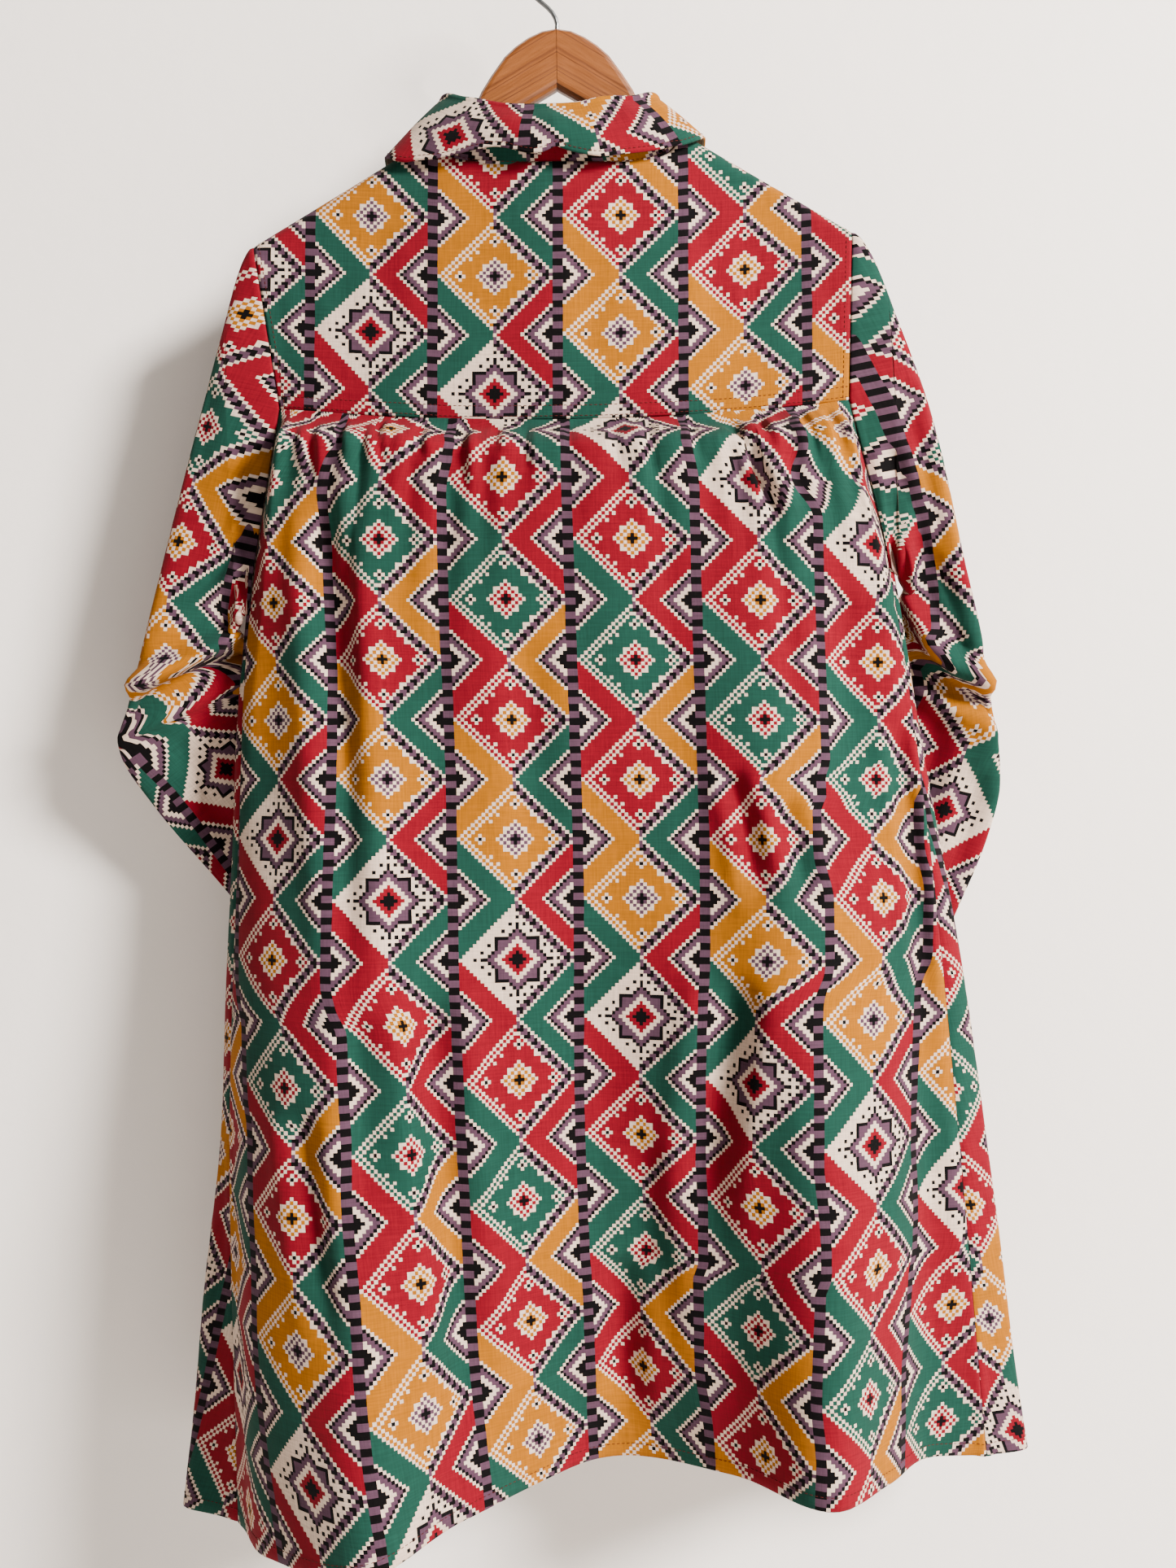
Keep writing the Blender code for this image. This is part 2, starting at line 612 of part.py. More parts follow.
def hanger_outline():
    """One half of the hanger's board, untilted, as (x, z) points from the head's top round to the notch."""
    top = RIDGE_TOP - CLOTH_ON_ARM
    arm = [(place * MM, top - math.tan(RIDGE_SLOPE) * place * MM) for place in ARM_PLACES]
    before = [(x * MM, z * MM) for x, z in HEAD_OUTLINE + NECK_OF_BOARD]
    after = [(x * MM, z * MM) for x, z in ARM_END + UNDERSIDE]
    return before + arm + after


def tilted(x, z):
    """A point of the board after the hanger's tilt, which lowers its left arm."""
    level = z - RIDGE_TOP
    return (
        x * math.cos(HANGER_TILT) - level * math.sin(HANGER_TILT),
        RIDGE_TOP + level * math.cos(HANGER_TILT) + x * math.sin(HANGER_TILT),
    )


def build_hanger_half(side, collection):
    """One half of the board, rounded all along except at the mitre."""
    form = bmesh.new()
    outline = [(max(x, MITRE_GAP / 2), z) for x, z in hanger_outline()]
    front = form.faces.new([form.verts.new((x, -HANGER_THICK / 2, z)) for x, z in outline])
    pushed = bmesh.ops.extrude_face_region(form, geom=[front])
    moved = [item for item in pushed["geom"] if isinstance(item, bmesh.types.BMVert)]
    bmesh.ops.translate(form, verts=moved, vec=(0, HANGER_THICK, 0))
    rims = [
        edge for edge in form.edges
        if edge.verts[0].co.y == edge.verts[1].co.y and max(vert.co.x for vert in edge.verts) > MITRE_GAP
    ]
    bmesh.ops.bevel(form, geom=rims, offset=WOOD_ROUNDING, segments=3, profile=0.5, affect="EDGES")
    for vert in form.verts:
        vert.co.x, vert.co.z = tilted(vert.co.x * side, vert.co.z)
    bmesh.ops.recalc_face_normals(form, faces=form.faces)
    name = "hanger_half_left" if side < 0 else "hanger_half_right"
    mesh = bpy.data.meshes.new(name)
    form.to_mesh(mesh)
    form.free()
    mesh.shade_smooth()
    mesh.set_sharp_from_angle(angle=math.radians(40))
    made = bpy.data.objects.new(name, mesh)
    paint(made, WOOD, 0.45)
    collection.objects.link(made)


def build_hook(collection):
    radius = HOOK_INNER_RADIUS + WIRE_RADIUS
    centre = -HOOK_INNER_RADIUS
    stem = [(0, HEAD_OUTLINE[0][1] * MM + SEAM_GAP)] + [(x * MM, z * MM) for x, z in HOOK_STEM]
    turns = [math.radians(turn) for turn in LOOP_ANGLES]
    loop = [(radius * math.cos(turn), centre + radius * math.sin(turn)) for turn in turns]
    route = even_points([(x, 0, z) for x, z in stem + loop], HOOK_POINTS)
    curve = bpy.data.curves.new("hanger_hook", "CURVE")
    curve.dimensions = "3D"
    curve.bevel_depth = WIRE_RADIUS
    curve.bevel_resolution = 2
    curve.use_fill_caps = True
    line = curve.splines.new("POLY")
    line.points.add(len(route) - 1)
    for point, place in zip(line.points, route):
        point.co = (*place, 1)
    made = bpy.data.objects.new("hanger_hook", curve)
    paint(made, STEEL, 0.35, metallic=1.0)
    collection.objects.link(made)
    return made


def build_buttons(right_front, collection):
    """Turned buttons seated on the upper front, along the centre front line."""
    for number in range(BUTTON_COUNT):
        height = FIRST_BUTTON_Z - number * BUTTON_PITCH
        seat = front_point(right_front, height)
        form = bmesh.new()
        section = [(reach * BUTTON_RADIUS, rise * BUTTON_THICK, 0) for reach, rise in BUTTON_PROFILE]
        points = [form.verts.new(place) for place in section]
        edges = [form.edges.new(pair) for pair in zip(points, points[1:])]
        turned = {"cent": (0, 0, 0), "axis": (0, 1, 0), "angle": 2 * math.pi}
        bmesh.ops.spin(form, geom=points + edges, steps=BUTTON_STEPS, use_merge=True, **turned)
        bmesh.ops.remove_doubles(form, verts=form.verts, dist=1e-6)
        bmesh.ops.recalc_face_normals(form, faces=form.faces)
        name = f"button_{number + 1}"
        mesh = bpy.data.meshes.new(name)
        form.to_mesh(mesh)
        form.free()
        made = bpy.data.objects.new(name, mesh)
        made.location = seat + np.array([0, WALL / 2 + SEAM_GAP, 0])
        mesh.shade_smooth()
        paint(made, BROWN_BLACK, 0.3)
        collection.objects.link(made)


def front_point(grid, height):
    """The point of the upper front on the centre front line at a height."""
    lap = []
    for row in grid[:, :6]:
        lengths = run_lengths(row)
        lap.append([np.interp(LAP_HALF_WIDTH, lengths, row[:, axis]) for axis in range(3)])
    lap = np.array(lap)[::-1]
    return np.array([np.interp(height, lap[:, 2], lap[:, axis]) for axis in range(3)])


def main():
    for thing in list(bpy.data.objects):
        bpy.data.objects.remove(thing, do_unlink=True)
    shirt = bpy.data.collections.new("smock_shirt")
    bpy.context.scene.collection.children.link(shirt)

    yoke = yoke_grid()
    back = back_grid()
    front_left = front_grid(-1)
    front_right = front_grid(1)

    sheet_object("back_yoke", yoke, OCHRE, shirt, flip=True)
    sheet_object("back_panel", back, RED, shirt, flip=True)
    sheet_object("front_left", front_left, GREEN, shirt)
    sheet_object("front_right", front_right, GREEN, shirt, flip=True)
    left_ring = armhole_ring(-1, yoke, back, front_left)
    right_ring = armhole_ring(1, yoke, back, front_right)
    sleeve_left = sleeve_grid(SLEEVE_LEFT, -1, left_ring)
    sleeve_right = sleeve_grid(SLEEVE_RIGHT, 1, right_ring)
    sheet_object("sleeve_left", sleeve_left, CREAM, shirt, around=True)
    sheet_object("sleeve_right", sleeve_right, CREAM, shirt, around=True, flip=True)
    sheet_object("collar_stand", collar_stand_grid(), GREEN, shirt)
    sheet_object("collar_fall", collar_fall_grid(), OCHRE, shirt, wall=COLLAR_WALL)
    build_hanger_half(-1, shirt)
    build_hanger_half(1, shirt)
    build_hook(shirt)
    build_buttons(front_right, shirt)


main()
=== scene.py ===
"""The dressed smock shirt: printed cloth with its folds, seams and stitching, its buttons and its hanger.

Metres, +Z up, in the frame's own coordinates. The shirt's back faces -Y. Left and right are those of somebody
who looks at the back.
"""

import math
from functools import partial

import bmesh
import bpy
import numpy as np
from mathutils import Matrix, Vector


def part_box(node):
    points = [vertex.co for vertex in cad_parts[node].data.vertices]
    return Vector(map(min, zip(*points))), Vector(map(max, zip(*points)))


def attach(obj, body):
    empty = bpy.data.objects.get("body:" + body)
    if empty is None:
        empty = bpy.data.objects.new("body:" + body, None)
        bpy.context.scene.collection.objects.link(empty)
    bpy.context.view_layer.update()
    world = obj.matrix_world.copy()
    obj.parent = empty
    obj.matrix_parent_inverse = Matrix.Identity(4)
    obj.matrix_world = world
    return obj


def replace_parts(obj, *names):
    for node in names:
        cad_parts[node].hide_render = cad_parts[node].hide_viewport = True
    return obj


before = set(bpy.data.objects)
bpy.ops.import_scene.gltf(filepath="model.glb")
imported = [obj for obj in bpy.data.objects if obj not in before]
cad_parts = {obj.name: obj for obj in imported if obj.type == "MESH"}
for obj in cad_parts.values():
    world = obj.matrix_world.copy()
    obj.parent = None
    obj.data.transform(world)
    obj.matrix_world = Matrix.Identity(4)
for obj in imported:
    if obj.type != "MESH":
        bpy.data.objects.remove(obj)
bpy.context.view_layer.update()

MM = 0.001
TINY = 1e-9

# Cloth and seams
CLOTH = 0.7 * MM
COLLAR_CLOTH = 1.5 * MM
SEAM_GAP = 0.3 * MM
SIDE_SEAM_GAP = 0.3 * MM

# Shoulders: the ridge that the cloth makes along the hanger's arms, and the roll over them
HANGER_TILT = math.radians(0.7)
RIDGE_TOP = -0.0862
RIDGE_SLOPE = math.radians(30.6)
ROLL_AT_SHOULDER = 9.5 * MM
ROLL_AT_NECK = 26.0 * MM
ROLL_REACH = 0.090
SHOULDER_LEFT = -0.2085
SHOULDER_RIGHT = 0.1985

# Neck
NECK_HALF_WIDTH = 0.084
NECK_BACK_HEIGHT = -0.163
NECK_CORNER = 2.2
NECK_DROP_FRONT = 0.138
YOKE_OVER_FRONT = 0.028
NECK_POWER_FRONT = 1.3
NECK_END = math.pi - math.acos((YOKE_OVER_FRONT / NECK_DROP_FRONT) ** (1 / NECK_POWER_FRONT))
LAP_HALF_WIDTH = 0.015
LAP_LIFT = 3.0 * MM
LAP_TOP_REACH = 0.075
LAP_TOP_FADE = 0.050
LAP_PLATEAU = 0.034
LAP_RAMP = 0.030

# Buttons
BUTTON_COUNT = 7
BUTTON_RADIUS = 5.75 * MM
BUTTON_THICK = 2.6 * MM
BUTTON_SEAT = 0.75 * MM

# Grid sizes: columns run across a piece, rows run down it, closer together at the top of the back
YOKE_SEAM_COLUMNS = 48
YOKE_NECK_COLUMNS = 84
YOKE_ROWS = 76
BACK_COLUMNS = 184
BACK_ROWS = 190
ROWS_DOWN_POWER = 1.15
FRONT_NECK_COLUMNS = 34
FRONT_SEAM_COLUMNS = 50
FRONT_TOP_ROWS = 66
FRONT_LOW_ROWS = 150
SLEEVE_ROWS = 150
COLLAR_COLUMNS = 216
STAND_ROWS = 16
HOOK_ROWS = 13
FALL_ROWS = 22

# Levels of the body: how far down the back each lies, and its height at the left, centre and right
LEVELS = (
    # name, down, left, centre, right
    ("yoke seam", 0.00, -0.321, -0.332, -0.315),
    ("chest", 0.185, -0.457, -0.447, -0.428),
    ("waist", 0.42, -0.620, -0.615, -0.600),
    ("hip", 0.67, -0.805, -0.795, -0.782),
    ("hem", 1.00, -1.060, -1.020, -1.022),
)
CHEST_DOWN = LEVELS[1][1]

# Points on the lines that the grids are read from
RING_POINTS = 900
RING_OVERLAP = 3
NECK_POINTS = 400
SEAM_POINTS = 60
CHEST_POINTS = 20

# Back panel: where each place round it stands at each level, as (x, y) in millimetres
BACK_PLACES = (
    # place, yoke seam, chest, waist, hip, hem
    ("left seam", (-185, -11), (-207, -4), (-214, -8), (-218, -14), (-211, -20)),
    ("left rise", (-158, -17), (-178, -17), (-190, -28), (-194, -50), (-180, -76)),
    ("left bulge", (-110, -22), (-128, -27), (-136, -52), (-132, -88), (-112, -124)),
    ("left fall", (-55, -26), (-66, -30), (-70, -42), (-64, -62), (-55, -74)),
    ("hollow", (5, -28), (3, -30), (12, -30), (30, -26), (46, -12)),
    ("right rise", (62, -26), (70, -29), (84, -34), (98, -42), (112, -46)),
    ("right bulge", (115, -22), (130, -27), (148, -44), (160, -68), (172, -92)),
    ("right fall", (155, -17), (178, -18), (200, -30), (213, -48), (212, -56)),
    ("right trough", (178, -14), (200, -14), (228, -15), (244, -18), (246, -16)),
    ("right seam", (195, -12), (224, -5), (248, -11), (266, -13), (288, -9)),
)

# Fronts: on from the right seam, round the edge, across the front and back to the left seam
FRONT_PLACES = (
    # place, yoke seam, chest, waist, hip, hem
    ("right edge", (204, -9), (227, 2), (257, 1), (288, 1), (319, 5)),
    ("right turn", (200, 6), (220, 9), (246, 12), (274, 14), (300, 22)),
    ("right quarter", (115, 18), (130, 19), (150, 19), (165, 19), (190, 34)),
    ("right inner", (55, 22), (60, 23), (70, 20), (80, 17), (100, 12)),
    ("centre front", (-6, 24), (-4, 24), (10, 21), (21, 20), (33, 26)),
    ("left inner", (-60, 22), (-65, 23), (-60, 20), (-58, 17), (-60, 10)),
    ("left quarter", (-115, 18), (-130, 19), (-138, 19), (-142, 19), (-150, 34)),
    ("left turn", (-190, 6), (-204, 9), (-209, 12), (-217, 12), (-236, 24)),
    ("left edge", (-194, -8), (-210, 2), (-220, 2), (-228, 0), (-253, 3)),
)
CENTRE_FRONT = [row[0] for row in FRONT_PLACES].index("centre front")
FRONT_CROWDING = 1.45
BACK_CROWDING = 0.35

# Gathers sewn into the yoke seam: place across it, depth and length in millimetres
GATHERS = (
    (0.052, 5.0, 90), (0.088, 3.0, 60), (0.125, 4.5, 110), (0.173, 6.0, 170), (0.215, 3.5, 80),
    (0.255, 4.5, 120), (0.319, 5.5, 150), (0.374, 4.0, 100), (0.426, 3.0, 90), (0.513, 2.5, 70),
    (0.590, 2.5, 60), (0.649, 4.0, 120), (0.727, 3.0, 80), (0.773, 4.5, 110), (0.815, 6.0, 190),
    (0.868, 4.0, 90), (0.912, 5.0, 120), (0.955, 4.0, 100),
)
GATHER_HALF_WIDTH = 0.0125
GATHER_FLAT = 0.001
GATHER_FULL_AT = 0.026
GATHER_RISE = 0.45
GATHER_SPREAD = 0.8
GATHER_EDGE = 0.03

# Sleeves: each section's outer and inner end as (x, y, z), and how far its two faces stand off them
SLEEVE_LEFT = (
    # section, down the sleeve, outer, inner, towards the viewer, away
    ("cap", 0.14, (-223, 2, -258), (-215, 3, -463), 17, 13),
    ("biceps", 0.30, (-244, 4, -336), (-219, 11, -470), 19, 14),
    ("above elbow", 0.47, (-269, 8, -430), (-212, 24, -476), 22, 13),
    ("overhang", 0.60, (-289, 12, -508), (-190, 34, -482), 24, 11),
    ("elbow", 0.68, (-302, 22, -548), (-168, 39, -488), 13, 12),
    ("forearm top", 0.76, (-281, 32, -588), (-150, 40, -504), 11, 12),
    ("forearm", 0.86, (-232, 39, -648), (-116, 39, -562), 11, 12),
    ("above wrist", 0.94, (-184, 40, -706), (-84, 40, -628), 10, 11),
    ("wrist", 1.00, (-148, 40, -748), (-58, 40, -678), 9, 10),
)
SLEEVE_RIGHT = (
    # section, down the sleeve, outer, inner, towards the viewer, away
    ("cap", 0.14, (222, 2, -238), (232, 3, -434), 17, 13),
    ("biceps", 0.30, (252, 4, -320), (238, 11, -441), 19, 14),
    ("above elbow", 0.47, (275, 8, -416), (233, 24, -448), 22, 13),
    ("overhang", 0.60, (292, 12, -496), (212, 34, -458), 24, 11),
    ("elbow", 0.68, (305, 22, -562), (190, 39, -484), 13, 12),
    ("forearm top", 0.76, (300, 32, -606), (172, 40, -534), 11, 12),
    ("forearm", 0.86, (275, 39, -672), (148, 39, -612), 11, 12),
    ("above wrist", 0.94, (244, 40, -744), (128, 40, -694), 10, 11),
    ("wrist", 1.00, (217, 40, -800), (110, 40, -760), 9, 10),
)
HEAD_BLEND = 0.13
HEAD_PUFF = 0.6
HEAD_GAP = 0.5 * MM
UNDERARM_GAP = 1.0 * MM
INNER_FLATNESS = 0.4
SECTION_POWER = 0.7

# Collar: the fold line in millimetres, and the lower edge as a place on the shoulders and a height off them.
# The fall ends at a turn from the centre back, and the stand goes on a little past it.
COLLAR_LINES = (
    # turn from the centre back in degrees, fold (x, y, z), lower edge (x, over the ridge, off the cloth)
    (-166, (-15, 27, -186), (-44, 146, 4.5)),
    (-130, (-58, 23, -160), (-90, 84, 5.0)),
    (-90, (-76, 2, -112), (-116, 2, 5.2)),
    (-50, (-58, -20, -119), (-84, -33, 8)),
    (-25, (-33, -26, -126), (-42, -58, 11)),
    (0, (-6, -28, -127.5), (-6, -86, 12)),
    (18, (14, -27, -126), (24, -78, 12)),
    (32, (30, -24.5, -121), (46, -61, 11)),
    (50, (47, -19, -118), (73, -36, 8)),
    (90, (66, 2, -111), (100, 2, 5.2)),
    (130, (44, 23, -158), (78, 89, 5.0)),
    (166, (5, 31, -186), (34, 155, 7.5)),
)
COLLAR_END = 162
STAND_BEYOND = 2
COLLAR_CLEARANCE = 3.6 * MM
STAND_INSET = 1.5 * MM
STAND_RAISE = 1.2 * MM
STAND_TUCK = 3.2 * MM
FOLD_RADIUS = 2.9 * MM
COLLAR_BOW = 5.0 * MM
FOLD_HOOK = ((-1, -4), (-0.8, -0.3), (0, 1), (0.9, -0.4), (1.1, -3))

# Folds, each as a depth, a half width and the places it runs through as (x, z), in millimetres.
# A negative depth is a crest.
BACK_FOLDS = (
    (3.0, 3.2, ((-159, -334), (-158, -352), (-156, -384))),
    (3.4, 2.6, ((-115.5, -334), (-114, -346), (-110, -372))),
    (2.6, 2.6, ((-140, -334), (-139, -350), (-136, -368))),
    (2.6, 3.0, ((-88, -334), (-87, -350), (-84, -372))),
    (3.4, 3.6, ((-61, -336), (-60, -360), (-57, -396))),
    (2.2, 2.6, ((-38, -336), (-38, -350), (-36, -366))),
    (2.4, 3.0, ((-19, -338), (-19, -356), (-16, -384))),
    (1.6, 2.6, ((9, -338), (9, -352), (10, -366))),
    (1.8, 3.0, ((38, -336), (38, -352), (40, -372))),
    (2.6, 3.2, ((59, -334), (60, -354), (64, -386))),
    (2.4, 2.8, ((88, -332), (90, -350), (94, -372))),
    (4.2, 4.0, ((112, -332), (127, -362), (150, -408))),
    (-2.6, 5.0, ((122, -336), (138, -364), (160, -404))),
    (2.4, 2.8, ((133, -330), (136, -346), (142, -366))),
    (2.6, 3.0, ((160, -326), (164, -346), (170, -374))),
    (2.2, 3.0, ((178, -324), (182, -342), (188, -364))),
    (7.5, 11, ((-152, -372), (-145, -470), (-137, -575), (-130, -700), (-126, -780))),
    (-3.0, 16, ((-172, -420), (-168, -540), (-160, -660))),
    (8.5, 11, ((-80, -690), (-70, -800), (-58, -900), (-47, -1020))),
    (6.0, 9, ((-160, -770), (-147, -860), (-130, -935))),
    (5.0, 10, ((-124, -712), (-117, -770), (-112, -850))),
    (3.0, 12, ((-20, -470), (-14, -560), (-8, -640))),
    (5.5, 7, ((112, -560), (124, -600), (133, -660))),
    (5.0, 7, ((146, -580), (156, -612), (164, -660))),
    (8.5, 13, ((118, -690), (106, -760), (99, -820), (96, -890))),
    (3.0, 12, ((60, -800), (62, -880), (70, -960))),
    (6.0, 8, ((226, -520), (236, -600), (243, -680), (250, -760))),
    (4.0, 14, ((190, -440), (196, -520), (204, -600))),
    (6.5, 11, ((40, -880), (44, -950), (48, -1010))),
)
YOKE_FOLDS = (
    (1.0, 7, ((-178, -190), (-168, -240), (-160, -296))),
    (0.8, 9, ((-120, -200), (-110, -250), (-112, -300))),
    (0.9, 10, ((20, -220), (26, -260), (22, -310))),
    (0.8, 8, ((96, -190), (104, -240), (112, -290))),
    (1.0, 7, ((176, -200), (182, -240), (186, -290))),
)
FRONT_FOLDS = (
    (3.2, 7, ((-150, -222), (-146, -300), (-140, -420))),
    (2.6, 10, ((-92, -250), (-90, -400), (-86, -560))),
    (3.6, 14, ((-120, -640), (-112, -780), (-108, -940), (-104, -1030))),
    (2.8, 12, ((-176, -520), (-180, -640), (-186, -780))),
    (3.0, 9, ((-62, -700), (-56, -820), (-50, -960))),
    (3.2, 7, ((150, -214), (148, -300), (144, -410))),
    (2.6, 10, ((100, -260), (102, -400), (108, -540))),
    (3.8, 14, ((120, -620), (128, -760), (136, -900), (142, -1010))),
    (2.8, 12, ((196, -500), (208, -620), (222, -760))),
    (3.0, 9, ((74, -680), (80, -800), (86, -940))),
)
LEFT_SLEEVE_FOLDS = (
    (-7.0, 6, ((-204, -446), (-214, -464), (-226, -474), (-240, -482), (-254, -489), (-270, -496),
               (-330, -528))),
    (12.0, 6, ((-196, -464), (-211, -480), (-224, -489), (-238, -497), (-252, -505), (-268, -512),
               (-330, -542))),
    (3.0, 5, ((-200, -420), (-216, -440), (-232, -452), (-258, -464))),
    (2.4, 5, ((-202, -396), (-226, -428), (-246, -444), (-262, -450))),
    (1.8, 6, ((-204, -350), (-212, -384), (-228, -404))),
    (3.0, 9, ((-222, -500), (-210, -560), (-196, -610))),
    (2.4, 8, ((-262, -536), (-240, -590), (-214, -624))),
    (1.6, 8, ((-232, -300), (-240, -360), (-252, -410))),
)
RIGHT_SLEEVE_FOLDS = (
    (-7.0, 6, ((228, -396), (234, -428), (241, -448), (254, -475), (270, -490), (290, -502), (335, -526))),
    (12.0, 6, ((220, -404), (226, -440), (232, -460), (246, -488), (264, -504), (288, -517), (335, -542))),
    (4.0, 6, ((224, -340), (228, -390), (232, -440), (240, -462))),
    (2.6, 5, ((232, -360), (244, -404), (262, -446), (276, -470))),
    (2.0, 6, ((232, -300), (240, -340), (254, -372))),
    (3.0, 9, ((262, -520), (254, -580), (240, -640))),
    (2.4, 8, ((292, -560), (280, -620), (262, -670))),
    (-3.0, 6, ((252, -330), (260, -380), (277, -450), (292, -510), (300, -560))),
)
COLLAR_FOLDS = (
    (0.7, 6, ((-70, -128), (-66, -142), (-64, -152))),
    (0.6, 7, ((-20, -130), (-16, -142), (-14, -150))),
    (0.7, 6, ((34, -128), (38, -140), (40, -148))),
)

# The crests beside a fold's trough, and the shares of its line over which it comes in and dies out
CREST_SHARE = 0.35
CREST_AWAY = 1.9
CREST_WIDTH = 0.8
FADE_IN = 0.12
FADE_OUT = 0.45

# A sleeve's folds are whole where it faces the viewer, and a share of them is left on its other side
SHARE_BEHIND = 0.08
FACING_FROM = 0.4
FACING_REACH = 0.5

# Low waves in each cloth, and how far under the shoulder ridge those of the yoke begin
YOKE_WAVES = 0.5 * MM
BACK_WAVES = 1.1 * MM
FRONT_WAVES = 1.0 * MM
SLEEVE_WAVES = 0.8 * MM
FALL_WAVES = 0.25 * MM
YOKE_CALM = 0.030

# The fronts lie calm along their lap, where the buttons sit, and the upper one's corner curls out
LAP_CALM = 0.035
LAP_CALM_FADE = 0.040
CORNER_CURL = 0.9 * MM
CORNER_REACH = 0.060

# Seam edges are pressed in by a depth that fades out at a distance, and folds die out before them
SEAM_REACH = 3.0 * MM
SEAM_CALM = 9.0 * MM

# Turned edges: their depth and rows, how far they round out, how far the print goes on round them, and the
# rows over which a front's turned edge rises to clear its hem
HEM_TURN = 1.1 * MM
FRONT_HEM_TURN = 0.8 * MM
HEM_ROWS = 2
HEM_ROUND = 0.4
HEM_PRINT_STEP = 0.3
CORNER_STEPS = 6

# Where the print lies on each cloth: how far it is shifted across or down
FRONT_LEFT_SHIFT = 0.10
FRONT_RIGHT_SHIFT = 0.30
SLEEVE_LEFT_SHIFT = 0.05
SLEEVE_RIGHT_SHIFT = 0.15
SLEEVE_DROP = 0.2
STAND_SHIFT = 0.02
FALL_SHIFT = 0.05
YOKE_DROP = 0.330

# The share of a sleeve down which the print runs straight, the length of the back that is crowded at its
# seam, and how far a panel's chart goes on past its mean ends
SLEEVE_STRAIGHT = 0.36
GATHERED_LENGTH = 0.022
BEYOND = 0.2

# Stitches
STITCH_PITCH = 3.3 * MM
STITCH_LENGTH = 2.5 * MM
THREAD_RADIUS = 0.22 * MM
STITCH_STATIONS = (-0.5, -0.3, 0, 0.3, 0.5)
STITCH_RISE = (-0.28, 0.10, 0.20, 0.10, -0.28)
STITCH_GIRTH = (0.4, 1, 1, 1, 0.4)
THREAD_SIDES = 5

# Buttonholes, and the threads that cross the buttons
BUTTONHOLE_HALF = 8.0 * MM
BUTTONHOLE_PITCH = 0.7 * MM
BUTTONHOLE_BAR = 1.5 * MM
BUTTONHOLE_SLIT = 0.15 * MM
BAR_STRAND = 0.3 * MM
BUTTONHOLE_LIFT = -0.05 * MM
BUTTONHOLE_ARCH = 0.22 * MM
BUTTON_STRAND = 0.24 * MM
BUTTON_THREAD_LIFT = 0.45 * BUTTON_THICK
BUTTON_THREAD_ARCH = 0.42 * BUTTON_THICK

# Half of a button's section, from under it round to its top, as shares of its radius and thickness
BUTTON_SECTION = (
    (0.00, 0.24), (0.70, 0.24), (0.78, 0.04), (0.88, 0.00), (0.97, 0.12), (1.00, 0.36), (0.99, 0.66),
    (0.93, 0.90), (0.84, 1.00), (0.75, 0.94), (0.66, 0.74), (0.52, 0.66), (0.00, 0.66),
)
BUTTON_STEPS = 40
BUTTON_CREASE = math.radians(40)
HOLE_RADIUS = 0.75 * MM
HOLE_OFFSET = 1.25 * MM
HOLE_SIDES = 14

# Wood: pairs of grain lines for each metre across an arm, how much they wander, and how far the figure is
# drawn out along the arm. Each line of a pair has a place, a half width and a strength.
GRAIN_PAIRS = 92
GRAIN_WANDER = 1.3
GRAIN_ALONG = 0.07
GRAIN_LINES = ((0.30, 0.05, 18), (0.52, 0.10, 6))

# The line of glue in the mitre
GLUE_THICK = 0.2 * MM
GLUE_HALF_DEPTH = 5.8 * MM
GLUE_CORNER = 4.6 * MM
GLUE_STEPS = 4
GLUE_TOP = -63.3 * MM
GLUE_BOTTOM = -103.2 * MM

# Print, in cells: columns of stepped diamonds with narrow bands between them
CELL = 2.3 * MM
COLUMN = 36
DIAMOND = 34
RAGGED = 0.9 * MM

# Colours, linear
RED = (0.140, 0.0012, 0.0075)
GREEN = (0.006, 0.038, 0.026)
OCHRE = (0.255, 0.082, 0.0001)
MAUVE = (0.060, 0.028, 0.045)
BLACK = (0.0012, 0.0006, 0.0007)
CREAM = (0.510, 0.380, 0.295)
THREAD = (0.060, 0.007, 0.006)
STEEL = (0.190, 0.192, 0.192)
RESIN = (0.055, 0.026, 0.022)
WOOD_PALE = (0.205, 0.064, 0.011)
WOOD_DARK = (0.140, 0.038, 0.006)
WOOD_LINE = (0.060, 0.013, 0.003)
PLASTER = (0.90, 0.83, 0.77)
FLOOR = (0.75, 0.73, 0.70)
ROOM = (0.92, 0.90, 0.88)

# Wall, floor, lamps and camera
WALL_Y = 0.085
FLOOR_Z = -1.60
ROOM_ACROSS = (-4, 4)
WALL_UP = (FLOOR_Z, 3)
FLOOR_DEEP = (-5, 5)
SHIRT_MIDDLE = (0, 0, -0.6)
LAMPS = (
    # name, place, size, power, colour
    ("window", (2.6, -2.2, 1.0), 1.0, 610, (1.0, 0.965, 0.93)),
    ("fill", (-2.2, -2.2, -0.2), 2.4, 5, (1.0, 0.97, 0.95)),
    ("behind", (0.6, 2.8, 0.8), 2.0, 60, (1.0, 0.98, 0.96)),
)
ROOM_LIGHT = 0.10
CAMERA_PLACE = (0.021, -0.95, -0.572)
CAMERA_HALF_ANGLE = math.radians(29.15)
SENSOR_WIDTH = 36


# Smooth lines and levels


